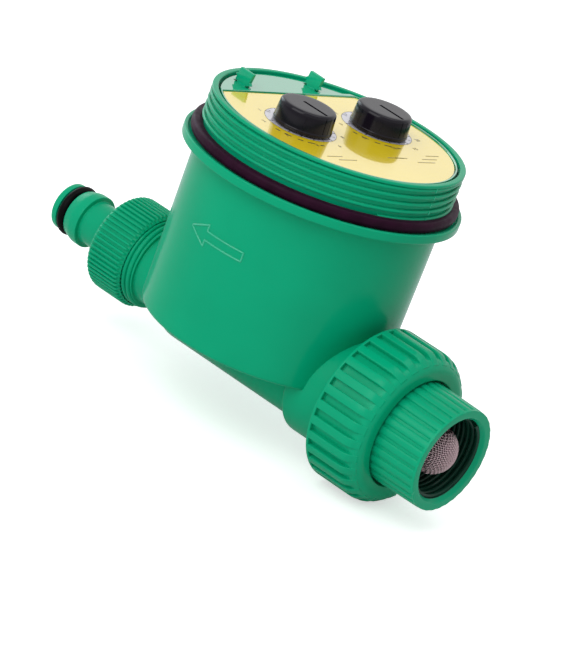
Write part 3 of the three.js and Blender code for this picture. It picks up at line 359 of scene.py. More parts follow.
def turned(name: str, corners: Sequence[Corner], axis: Axis, closed: bool = True, segments: int = 144,
           centre: Point = (0.0, 0.0), longest: float = 4.0) -> Object:
    """Makes a turned solid.

    Args:
        name: the object's name.
        corners: its profile, (along the axis, radius, rounding) for each corner.
        axis: the line it is turned about.
        closed: True for a ring profile, False for one that starts and ends on the axis.
        segments: facets around.
        centre: where an upright axis stands, from the bucket's axis.
        longest: the longest stretch of profile in one face.

    Returns:
        The new object, smooth and with its faces outwards.
    """
    points = spaced(rounded(corners, closed), longest, closed)
    places: list[Vector] = []
    rows: list[list[int]] = []
    for along, radius in points:
        count = segments if radius > 1e-6 else 1
        rows.append(list(range(len(places), len(places) + count)))
        for k in range(count):
            angle = 2 * math.pi * (k + FACET_SHIFT) / segments
            across, up = radius * math.cos(angle), radius * math.sin(angle)
            if axis is Axis.PIPE:
                places.append(Vector((along, across, up)) * MM)
            else:
                places.append(Vector((BUCKET_X + centre[0] + across, centre[1] + up, along)) * MM)
    faces: list[tuple[int, ...]] = []
    for low, high in zip(rows, rows[1:] + (rows[:1] if closed else [])):
        for k in range(segments):
            after = (k + 1) % segments
            corner_set = [low[k % len(low)], high[k % len(high)], high[after % len(high)],
                          low[after % len(low)]]
            face = tuple(dict.fromkeys(corner_set))
            if len(face) > 2:
                faces.append(face)
    return smoothed(outward(mesh_object(name, places, faces)))


def skinned(name: str, rows: Sequence[Sequence[Vector]]) -> Object:
    """Skins a closed solid over sections that have equally many points.

    Args:
        name: the object's name.
        rows: the sections in order, in metres; the first and the last are closed with a face.

    Returns:
        The new object, with its faces outwards.
    """
    size = len(rows[0])
    last = size * (len(rows) - 1)
    faces: list[tuple[int, ...]] = [tuple(range(size)), tuple(range(last, last + size))]
    for base in range(0, last, size):
        for k in range(size):
            after = (k + 1) % size
            faces.append((base + k, base + after, base + size + after, base + size + k))
    return outward(mesh_object(name, [point for row in rows for point in row], faces))


def plate(name: str, outline: Sequence[Point], low: float, high: float) -> Object:
    """Raises a flat outline between two heights.

    Args:
        name: the object's name.
        outline: its corners in the panel's own axes, in millimetres.
        low: height of its underside.
        high: height of its top.

    Returns:
        The new object.
    """
    return skinned(name, [[PANEL_PLACE @ (Vector((x, y, z)) * MM) for x, y in outline]
                          for z in (low, high)])


def block(place: Matrix, x: Point, y: Point, z: Point) -> Object:
    """Makes a box.

    Args:
        place: where it is set, in metres.
        x: its two limits along X, in millimetres.
        y: its two limits along Y.
        z: its two limits along Z.

    Returns:
        The new object.
    """
    points = [place @ (Vector((a, b, c)) * MM) for a in x for b in y for c in z]
    faces = [(0, 1, 3, 2), (4, 6, 7, 5), (0, 4, 5, 1), (2, 3, 7, 6), (0, 2, 6, 4), (1, 5, 7, 3)]
    return outward(mesh_object("block", points, faces))


def bevelled(target: Object, width: float, segments: int = 3) -> Object:
    """Rounds a plate's sharp edges and keeps its level faces flat.

    Args:
        target: the plate, changed in place.
        width: how far the rounding reaches, in millimetres.
        segments: facets across the rounding.

    Returns:
        The same object.
    """
    step = target.modifiers.new("edges", "BEVEL")
    step.width = width * MM
    step.segments = segments
    step.limit_method = "ANGLE"
    step.angle_limit = math.radians(40)
    step.use_clamp_overlap = True
    smoothed(baked(target), 40)
    for face in target.data.polygons:
        if abs(face.normal.z) > LEVEL:
            face.use_smooth = False
    return target


def circle(radius: float, centre: Point = (0.0, 0.0), count: int = 48) -> list[Point]:
    """A round outline."""
    turns = [2 * math.pi * k / count for k in range(count)]
    return [(centre[0] + radius * math.cos(a), centre[1] + radius * math.sin(a)) for a in turns]


def segment(radius: float, chord: float, after: bool, count: int = 150) -> list[Point]:
    """The part of a round outline on one side of a chord across the panel's X axis.

    Args:
        radius: the outline's radius.
        chord: where the chord crosses the axis.
        after: True for the side towards +X, False for the other.
        count: stretches along the arc.

    Returns:
        The outline's points.
    """
    half = math.acos(chord / radius)
    first, last = (-half, half) if after else (half, 2 * math.pi - half)
    turns = [first + (last - first) * k / count for k in range(count + 1)]
    return [(radius * math.cos(a), radius * math.sin(a)) for a in turns]


# ---------------------------------------------------------------- Geometry Nodes


class NodeTree:
    """A Geometry Nodes tree with named inputs, used through a modifier that is then baked."""

    def __init__(self, name: str, inputs: dict[str, str]) -> None:
        """Makes the tree.

        Args:
            name: the tree's name.
            inputs: socket types by input name, after the geometry.
        """
        self.tree = bpy.data.node_groups.new(name, "GeometryNodeTree")
        face = self.tree.interface
        face.new_socket("Geometry", in_out="INPUT", socket_type="NodeSocketGeometry")
        self.keys: dict[str, str] = {}
        for label, kind in inputs.items():
            made = face.new_socket(label, in_out="INPUT", socket_type=kind)
            self.keys[label] = made.identifier
        face.new_socket("Geometry", in_out="OUTPUT", socket_type="NodeSocketGeometry")
        self.source = self.tree.nodes.new("NodeGroupInput")

    def add(self, kind: str, **wires: object) -> bpy.types.Node:
        """Adds a node.

        Args:
            kind: the node's type.
            **wires: values or sockets for its inputs, by name with underscores for blanks, or by
                number as i0 and i1; a name that starts with set_ is a property of the node.

        Returns:
            The node.
        """
        node = self.tree.nodes.new(kind)
        for label, value in wires.items():
            if label.startswith("set_"):
                setattr(node, label[4:], value)
        for label, value in wires.items():
            if label.startswith("set_"):
                continue
            slot = node.inputs[int(label[1:])] if label[0] == "i" and label[1:].isdigit() \
                else node.inputs[label.replace("_", " ")]
            if isinstance(value, bpy.types.NodeSocket):
                self.tree.links.new(value, slot)
            else:
                slot.default_value = value
        return node

    def close(self, geometry: bpy.types.NodeSocket) -> None:
        """Ends the tree in real geometry with the Material input on it.

        Args:
            geometry: what the tree has made.
        """
        real = self.add("GeometryNodeRealizeInstances", Geometry=geometry)
        dressed = self.add("GeometryNodeSetMaterial", Geometry=real.outputs[0],
                           Material=self.source.outputs["Material"])
        end = self.tree.nodes.new("NodeGroupOutput")
        self.tree.links.new(dressed.outputs[0], end.inputs[0])

    def run(self, target: Object, **values: object) -> Object:
        """Runs the tree on an object and keeps the result as its mesh.

        Args:
            target: the object, changed in place.
            **values: the tree's inputs, by name.

        Returns:
            The same object.
        """
        step = target.modifiers.new("tree", "NODES")
        step.node_group = self.tree
        for label, value in values.items():
            step[self.keys[label]] = value
        return baked(target)


class RingTree(NodeTree):
    """Repeats a mesh around an axis."""

    def __init__(self) -> None:
        """Builds the nodes."""
        super().__init__("ring_of_pieces", {
            "Count": "NodeSocketInt", "Centre": "NodeSocketVector", "Step": "NodeSocketVector",
            "Material": "NodeSocketMaterial"})
        own = self.source.outputs
        places = self.add("GeometryNodeMeshLine", set_mode="OFFSET", Count=own["Count"],
                          Start_Location=own["Centre"], Offset=(0, 0, 0))
        number = self.add("GeometryNodeInputIndex")
        turn = self.add("ShaderNodeVectorMath", set_operation="SCALE", Vector=own["Step"],
                        Scale=number.outputs[0])
        rotation = self.add("FunctionNodeEulerToRotation", Euler=turn.outputs[0])
        copies = self.add("GeometryNodeInstanceOnPoints", Points=places.outputs[0],
                          Instance=own["Geometry"], Rotation=rotation.outputs[0])
        self.close(copies.outputs[0])

    def around(self, target: Object, count: int, axis: Axis, material: bpy.types.Material,
               centre: Vector | None = None, step: float | None = None) -> Object:
        """Repeats a piece around an axis.

        Args:
            target: the piece, drawn at its first place from the centre.
            count: how many there are.
            axis: the direction of the line they stand around.
            material: their finish.
            centre: a point of that line in millimetres; the frame's origin if left out.
            step: the angle from one to the next; an even share of the whole turn if left out.

        Returns:
            The same object, holding every copy.
        """
        angle = 2 * math.pi / count if step is None else step
        turn = (angle, 0, 0) if axis is Axis.PIPE else (0, 0, angle)
        place = (0, 0, 0) if centre is None else (centre.x * MM, centre.y * MM, 0)
        self.run(target, Count=count, Centre=place, Step=turn, Material=material)
        return smoothed(target)


class ThreadTree(NodeTree):
    """Sweeps a round ridge along a helix, with ends that run out."""

    STEPS_PER_TURN = 96
    RIDGE_SIDES = 10

    def __init__(self) -> None:
        """Builds the nodes."""
        super().__init__("screw_thread", {
            "Radius": "NodeSocketFloat", "Ridge": "NodeSocketFloat", "Turns": "NodeSocketFloat",
            "Rise": "NodeSocketFloat", "Run Out": "NodeSocketFloat", "Place": "NodeSocketVector",
            "Turn": "NodeSocketVector", "Material": "NodeSocketMaterial"})
        own = self.source.outputs
        helix = self.add("GeometryNodeCurveSpiral", Resolution=self.STEPS_PER_TURN,
                         Rotations=own["Turns"], Start_Radius=own["Radius"],
                         End_Radius=own["Radius"], Height=own["Rise"], Reverse=True)
        along = self.add("GeometryNodeSplineParameter").outputs["Factor"]
        left = self.add("ShaderNodeMath", set_operation="SUBTRACT", i0=1.0, i1=along)
        nearest = self.add("ShaderNodeMath", set_operation="MINIMUM", i0=along, i1=left.outputs[0])
        share = self.add("ShaderNodeMath", set_operation="DIVIDE", i0=nearest.outputs[0],
                         i1=own["Run Out"])
        size = self.add("ShaderNodeMath", set_operation="MINIMUM", i0=share.outputs[0], i1=1.0)
        tapered = self.add("GeometryNodeSetCurveRadius", Curve=helix.outputs[0],
                           Radius=size.outputs[0])
        section = self.add("GeometryNodeCurvePrimitiveCircle", Resolution=self.RIDGE_SIDES,
                           Radius=own["Ridge"])
        swept = self.add("GeometryNodeCurveToMesh", Curve=tapered.outputs[0],
                         Profile_Curve=section.outputs[0], Fill_Caps=True)
        rotation = self.add("FunctionNodeEulerToRotation", Euler=own["Turn"])
        placed = self.add("GeometryNodeTransform", Geometry=swept.outputs[0],
                          Translation=own["Place"], Rotation=rotation.outputs[0])
        self.close(placed.outputs[0])


class WireTree(NodeTree):
    """Sweeps a round wire along every line of edges."""

    def __init__(self) -> None:
        """Builds the nodes."""
        super().__init__("wires", {
            "Radius": "NodeSocketFloat", "Sides": "NodeSocketInt", "Material": "NodeSocketMaterial"})
        own = self.source.outputs
        lines = self.add("GeometryNodeMeshToCurve", Mesh=own["Geometry"])
        section = self.add("GeometryNodeCurvePrimitiveCircle", Resolution=own["Sides"],
                           Radius=own["Radius"])
        swept = self.add("GeometryNodeCurveToMesh", Curve=lines.outputs[0],
                         Profile_Curve=section.outputs[0], Fill_Caps=True)
        self.close(swept.outputs[0])


RINGS = RingTree()
THREADS = ThreadTree()
WIRES = WireTree()


# ---------------------------------------------------------------- finishes


class Shader:
    """A material's node tree, built with short calls."""

    MIDDLE_RANGE = (0.3, 0.7)  # where most of a noise pattern lies

    def __init__(self, name: str) -> None:
        """Starts an empty material with a Principled shader on its output."""
        self.material = bpy.data.materials.new(name)
        self.material.use_nodes = True
        self.tree = self.material.node_tree
        self.tree.nodes.clear()
        self.surface = self.add("ShaderNodeBsdfPrincipled")
        end = self.add("ShaderNodeOutputMaterial")
        self.tree.links.new(self.surface.outputs[0], end.inputs["Surface"])
        self.place = self.add("ShaderNodeTexCoord").outputs["Object"]

    def add(self, kind: str, **properties: object) -> bpy.types.Node:
        """Adds a node and sets its properties.

        Args:
            kind: the node's type.
            **properties: its properties, by name.

        Returns:
            The node.
        """
        node = self.tree.nodes.new(kind)
        for label, value in properties.items():
            setattr(node, label, value)
        return node

    def fixed(self, **values: object) -> None:
        """Sets constants on the shader's own sockets, named with underscores for blanks."""
        for label, value in values.items():
            self.surface.inputs[label.replace("_", " ")].default_value = value

    def noise(self, scale: float, detail: float = 3.0,
              stretch: tuple[float, float, float] = (1, 1, 1)) -> bpy.types.NodeSocket:
        """A noise pattern on object coordinates.

        Args:
            scale: cycles a metre.
            detail: octaves of finer noise.
            stretch: factor along each axis.

        Returns:
            The pattern's socket.
        """
        mapping = self.add("ShaderNodeMapping")
        mapping.inputs["Scale"].default_value = stretch
        self.tree.links.new(self.place, mapping.inputs["Vector"])
        texture = self.add("ShaderNodeTexNoise")
        texture.inputs["Scale"].default_value = scale
        texture.inputs["Detail"].default_value = detail
        self.tree.links.new(mapping.outputs[0], texture.inputs["Vector"])
        return texture.outputs[0]

    def spread(self, value: bpy.types.NodeSocket, low: float, high: float) -> bpy.types.NodeSocket:
        """Maps a pattern's middle range to a range of numbers.

        Args:
            value: the pattern.
            low: the number for its darker parts.
            high: the number for its lighter parts.

        Returns:
            The mapped pattern's socket.
        """
        node = self.add("ShaderNodeMapRange")
        for end, value_in, value_out in zip(("Min", "Max"), self.MIDDLE_RANGE, (low, high)):
            node.inputs[f"From {end}"].default_value = value_in
            node.inputs[f"To {end}"].default_value = value_out
        self.tree.links.new(value, node.inputs["Value"])
        return node.outputs[0]

    def colour(self, value: bpy.types.NodeSocket, first: Colour, second: Colour) -> None:
        """Colours the surface between two colours by a pattern.

        Args:
            value: the pattern, from 0 to 1.
            first: the colour at 0.
            second: the colour at 1.
        """
        mix = self.add("ShaderNodeMix", data_type="RGBA")
        mix.inputs[6].default_value = (*first, 1)
        mix.inputs[7].default_value = (*second, 1)
        self.tree.links.new(value, mix.inputs[0])
        self.tree.links.new(mix.outputs[2], self.surface.inputs["Base Color"])

    def rough(self, value: bpy.types.NodeSocket) -> None:
        """Drives the roughness by a pattern."""
        self.tree.links.new(value, self.surface.inputs["Roughness"])

    def bump(self, value: bpy.types.NodeSocket, depth: float, strength: float = 1.0) -> None:
        """Raises the surface by a pattern, to a depth in millimetres.

        Args:
            value: the pattern.
            depth: how far it raises the surface, in millimetres.
            strength: share of the effect that is used.
        """
        node = self.add("ShaderNodeBump")
        node.inputs["Strength"].default_value = strength
        node.inputs["Distance"].default_value = depth * MM
        self.tree.links.new(value, node.inputs["Height"])
        self.tree.links.new(node.outputs[0], self.surface.inputs["Normal"])


def shade(colour: Colour, factor: float) -> Colour:
    """A colour made lighter or darker."""
    return tuple(min(1.0, channel * factor) for channel in colour)


@dataclass(frozen=True)
class Plastic:
    """Moulded plastic: a little uneven in colour and gloss, with a fine skin."""

    name: str
    base: Colour
    roughness: float = 0.28
    variation: float = 0.05
    skin_depth: float = 0.012
    skin_scale: float = 1500.0
    shine: float = 0.5
    coat: float = 0.0
    coat_roughness: float = 0.05
    coat_ior: float = 1.5
    edge_glow: float = 0.0
    CLOUD_SCALE = 38
    GLOSS_SCALE = 160
    GLOSS_CHANGE = 0.15
    SKIN_STRENGTH = 0.35
    GLOW_ROUGHNESS = 0.25
    GLOW_TINT = (0.75, 0.95, 1.0, 1)

    def material(self) -> bpy.types.Material:
        """Builds the material.

        Returns:
            The material.
        """
        shader = Shader(self.name)
        cloud = shader.spread(shader.noise(self.CLOUD_SCALE, 2), 0, 1)
        shader.colour(cloud, shade(self.base, 1 - self.variation), shade(self.base, 1 + self.variation))
        shader.rough(shader.spread(shader.noise(self.GLOSS_SCALE, 4),
                                   self.roughness * (1 - self.GLOSS_CHANGE),
                                   self.roughness * (1 + self.GLOSS_CHANGE)))
        shader.bump(shader.noise(self.skin_scale, 2), self.skin_depth, self.SKIN_STRENGTH)
        shader.fixed(IOR=1.5, Specular_IOR_Level=self.shine, Coat_Weight=self.coat,
                     Coat_Roughness=self.coat_roughness, Coat_IOR=self.coat_ior,
                     Sheen_Weight=self.edge_glow, Sheen_Roughness=self.GLOW_ROUGHNESS,
                     Sheen_Tint=self.GLOW_TINT)
        return shader.material


@dataclass(frozen=True)
class Rubber:
    """Soft rubber with a dusty sheen."""

    name: str
    base: Colour
    sheen_tint: Colour
    roughness: float = 0.46
    shine: float = 0.14
    DUST_SCALE = 260
    DUST_SHADE = 1.7
    GLOSS_SCALE = 420
    GLOSS_CHANGE = 0.07
    GRAIN_SCALE = 2200
    GRAIN_DEPTH = 0.02

    def material(self) -> bpy.types.Material:
        """Builds the material.

        Returns:
            The material.
        """
        shader = Shader(self.name)
        dust = shader.spread(shader.noise(self.DUST_SCALE, 6), 0, 1)
        shader.colour(dust, self.base, shade(self.base, self.DUST_SHADE))
        shader.rough(shader.spread(shader.noise(self.GLOSS_SCALE, 3),
                                   self.roughness - self.GLOSS_CHANGE,
                                   self.roughness + self.GLOSS_CHANGE))
        shader.bump(shader.noise(self.GRAIN_SCALE, 3), self.GRAIN_DEPTH, 0.4)
        shader.fixed(Specular_IOR_Level=self.shine, Sheen_Weight=0.05, Sheen_Roughness=0.4,
                     Sheen_Tint=(*self.sheen_tint, 1))
        return shader.material


@dataclass(frozen=True)
class Metal:
    """Drawn or turned metal with fine lines."""

    name: str
    base: Colour
    roughness: float = 0.3
    stretch: tuple[float, float, float] = (1, 1, 0.05)
    LINE_SCALE = 2600
    LINE_DEPTH = 0.006
    SHADES = (0.86, 1.08)
    GLOSS_SHARES = (0.75, 1.3)

    def material(self) -> bpy.types.Material:
        """Builds the material.

        Returns:
            The material.
        """
        shader = Shader(self.name)
        lines = shader.noise(self.LINE_SCALE, 4, self.stretch)
        shader.colour(shader.spread(lines, 0, 1), *(shade(self.base, part) for part in self.SHADES))
        shader.rough(shader.spread(lines, *(self.roughness * part for part in self.GLOSS_SHARES)))
        shader.bump(lines, self.LINE_DEPTH, 0.5)
        shader.fixed(Metallic=1.0)
        return shader.material


@dataclass(frozen=True)
class Jacket:
    """A cell's printed jacket: a coloured body with a plain band near its top."""

    name: str
    base: Colour
    band: Colour
    band_z: float

    def material(self) -> bpy.types.Material:
        """Builds the material.

        Returns:
            The material.
        """
        shader = Shader(self.name)
        split = shader.add("ShaderNodeSeparateXYZ")
        shader.tree.links.new(shader.place, split.inputs[0])
        above = shader.add("ShaderNodeMath", operation="GREATER_THAN")
        above.inputs[1].default_value = self.band_z * MM
        shader.tree.links.new(split.outputs["Z"], above.inputs[0])
        shader.colour(above.outputs[0], self.base, self.band)
        shader.rough(shader.spread(shader.noise(300, 3), 0.2, 0.32))
        shader.bump(shader.noise(900, 2), 0.01, 0.3)
        shader.fixed(Coat_Weight=0.5, Coat_Roughness=0.08)
        return shader.material


@dataclass(frozen=True)
class Board:
    """Solder-masked board with a faint weave of tracks."""

    name: str
    base: Colour
    track: Colour

    def material(self) -> bpy.types.Material:
        """Builds the material.

        Returns:
            The material.
        """
        shader = Shader(self.name)
        tracks = shader.add("ShaderNodeTexBrick")
        tracks.inputs["Scale"].default_value = 320
        tracks.inputs["Color1"].default_value = (0, 0, 0, 1)
        tracks.inputs["Color2"].default_value = (0.1, 0.1, 0.1, 1)
        tracks.inputs["Mortar"].default_value = (1, 1, 1, 1)
        tracks.inputs["Mortar Size"].default_value = 0.06
        shader.tree.links.new(shader.place, tracks.inputs["Vector"])
        shader.colour(tracks.outputs["Color"], self.base, self.track)
        shader.rough(shader.spread(shader.noise(500, 3), 0.28, 0.4))
        shader.bump(tracks.outputs["Color"], 0.03, 0.4)
        return shader.material


GREEN: Colour = (0.001, 0.345, 0.172)
BODY_GREEN = Plastic("body_green", GREEN, roughness=0.18, skin_depth=0.006, shine=0.09,
                     edge_glow=0.16).material()
FITTING_GREEN = Plastic("fitting_green", (0.001, 0.35, 0.175), roughness=0.24, skin_depth=0.012,
                        shine=0.11, edge_glow=0.06).material()
# Painted shade: the darker green of the sleeve's shaded bore and inner thread.
BORE_SHADE_GREEN = Plastic("bore_shade_green", (0.003, 0.038, 0.022), roughness=0.3, skin_depth=0.012,
                     shine=0.15).material()
# Paler green for the flow arrow's outline; on the parting nicks it is a painted highlight where the
# flash catches light.
MARK_AND_HIGHLIGHT_GREEN = Plastic("mark_and_highlight_green", (0.02, 0.45, 0.25), roughness=0.25, skin_depth=0.004).material()
COVER_GREEN = Plastic("cover_green", GREEN, roughness=0.1, skin_depth=0.004, coat=1.0,
                      coat_roughness=0.04, coat_ior=1.75).material()
LATCH_GREEN = Plastic("latch_green", (0.002, 0.40, 0.21), roughness=0.2, skin_depth=0.004,
                      shine=0.3).material()
LABEL_YELLOW = Plastic("label_yellow", (0.93, 0.70, 0.010), roughness=0.2, variation=0.03,
                       skin_depth=0.002, coat=1.0, coat_roughness=0.025, coat_ior=2.15).material()
KNOB_BLACK = Plastic("knob_charcoal", (0.006, 0.0045, 0.010), roughness=0.15, variation=0.15,
                     skin_depth=0.008, skin_scale=2600, shine=0.2).material()
DIAL_WHITE = Plastic("dial_print_white", (0.62, 0.60, 0.68), roughness=0.25, variation=0.03,
                     skin_depth=0.002, coat=1.0, coat_roughness=0.03).material()
INK = Plastic("dial_ink", (0.02, 0.02, 0.022), roughness=0.35, variation=0.2,
              skin_depth=0.002).material()
PALE_INK = Plastic("pale_ink", (0.30, 0.24, 0.10), roughness=0.3, variation=0.1,
                   skin_depth=0.002).material()
SEAL_RUBBER = Rubber("seal_rubber", (0.014, 0.0018, 0.0095), (0.62, 0.3, 0.56), shine=0.06).material()
BLACK_RUBBER = Rubber("black_rubber", (0.002, 0.002, 0.002), (0.2, 0.2, 0.2), 0.38, 0.05).material()
BLACK_PLASTIC = Plastic("black_plastic", (0.012, 0.012, 0.013), roughness=0.42,
                        variation=0.2).material()
GREY_PLASTIC = Plastic("grey_plastic", (0.28, 0.30, 0.31), roughness=0.45).material()
WHITE_ACETAL = Plastic("white_acetal", (0.78, 0.77, 0.72), roughness=0.38).material()
SEAT_WHITE = Plastic("seat_white", (0.82, 0.81, 0.77), roughness=0.5).material()
STEEL = Metal("steel", (0.55, 0.56, 0.58)).material()
BRASS = Metal("brass", (0.6, 0.42, 0.12), 0.34).material()
WIRE_METAL = Metal("strainer_wire", (0.60, 0.45, 0.48), 0.34, (1, 1, 1)).material()
# Painted shade, seen between the strainer's wires.
PAINTED_STRAINER_SHADE = Plastic("painted_strainer_shade", (0.035, 0.02, 0.024), roughness=0.6, shine=0.2).material()
CELL_JACKET = Jacket("cell_jacket", (0.03, 0.09, 0.34), (0.62, 0.60, 0.55), 54).material()
BOARD_GREEN = Board("board_green", (0.01, 0.09, 0.035), (0.04, 0.22, 0.09)).material()

CARRIED_OVER: list[tuple[bpy.types.Material, list[str]]] = [
    (BOARD_GREEN, ["circuit_board"]),
    (BLACK_PLASTIC, ["control_chip", "capacitor", "battery_chute", "gearbox_base", "gearbox_lid"]),
    (GREY_PLASTIC, ["left_potentiometer", "right_potentiometer", "left_knob_shaft",
                    "right_knob_shaft", "seat_retainer", "gland_ring"]),
    (SEAT_WHITE, ["outlet_seat", "inlet_seat"]),
    (WHITE_ACETAL, ["valve_gear", "middle_gear", "first_gear"]),
    (BRASS, ["valve_stem", "motor_pinion"]),
    (BLACK_RUBBER, ["filter_rim", "inlet_washer", "outlet_washer", "stem_seal_1", "stem_seal_2"]),
    (STEEL, ["valve_ball", "motor", "motor_shaft", "middle_gear_pin", "first_gear_pin",
             "gearbox_screw_1", "gearbox_screw_2", "board_screw_1", "board_screw_2",
             "board_screw_3", "spring_contact", "plate_contact", "bridge_contact"]),
]


def dress_carried_nodes() -> None:
    """Gives every CAD node that is shown as it is its finish."""
    for material, nodes in CARRIED_OVER:
        for node in nodes:
            shown = frame["nodes"][node]
            shown.data.materials.clear()
            shown.data.materials.append(material)
            LOG.info("%s: %s", node, material.name)


# ---------------------------------------------------------------- ribs


@dataclass(frozen=True)
class Rib:
    """One moulded rib along a turned fitting, at angle zero."""

    start: float
    end: float
    foot: float
    width: float
    outline: Callable[[float], float]
    side_round: float = 0.35
    top_round: float = 0.35
    stations: int = 16
    corner_steps: int = 4

    def section(self, along: float) -> list[Vector]:
        """The rib's section at a place along the pipe.

        Args:
            along: the place, in millimetres.

        Returns:
            The section's points, in metres.
        """
        top = self.outline(along)
        rise = min(self.top_round, max(0.02, top - self.foot))
        half = self.width / 2
        quarter = [math.pi / 2 * k / self.corner_steps for k in range(self.corner_steps + 1)]
        left = [(-half + self.side_round * (1 - math.cos(a)), top - rise * (1 - math.sin(a)))
                for a in quarter]
        right = [(-across, radius) for across, radius in reversed(left)]
        sides = [(-half, self.foot), *left, *right, (half, self.foot)]
        return [Vector((along, radius * math.sin(across / top), radius * math.cos(across / top))) * MM
                for across, radius in sides]

    def ring(self, name: str, count: int, material: bpy.types.Material) -> Object:
        """Builds the rib and repeats it around the pipe.

        Args:
            name: the new object's name.
            count: how many ribs there are.
            material: their finish.

        Returns:
            The object that holds every rib.
        """
        length = self.end - self.start
        rows = [self.section(self.start + length * k / self.stations)
                for k in range(self.stations + 1)]
        return RINGS.around(skinned(name, rows), count, Axis.PIPE, material)


def along_profile(points: Sequence[Point]) -> Callable[[float], float]:
    """The radius of a profile at any place along it.

    Args:
        points: the profile as (along, radius), in rising order.

    Returns:
        A function from a place to its radius.
    """

    def radius_at(along: float) -> float:
        """Radius at a place along the pipe.

        Args:
            along: the place.

        Returns:
            The radius there.
        """
        for (x0, r0), (x1, r1) in zip(points, points[1:]):
            if along <= x1:
                return r0 + (r1 - r0) * max(0.0, (along - x0) / (x1 - x0))
        return points[-1][1]

    return radius_at


# ---------------------------------------------------------------- housing


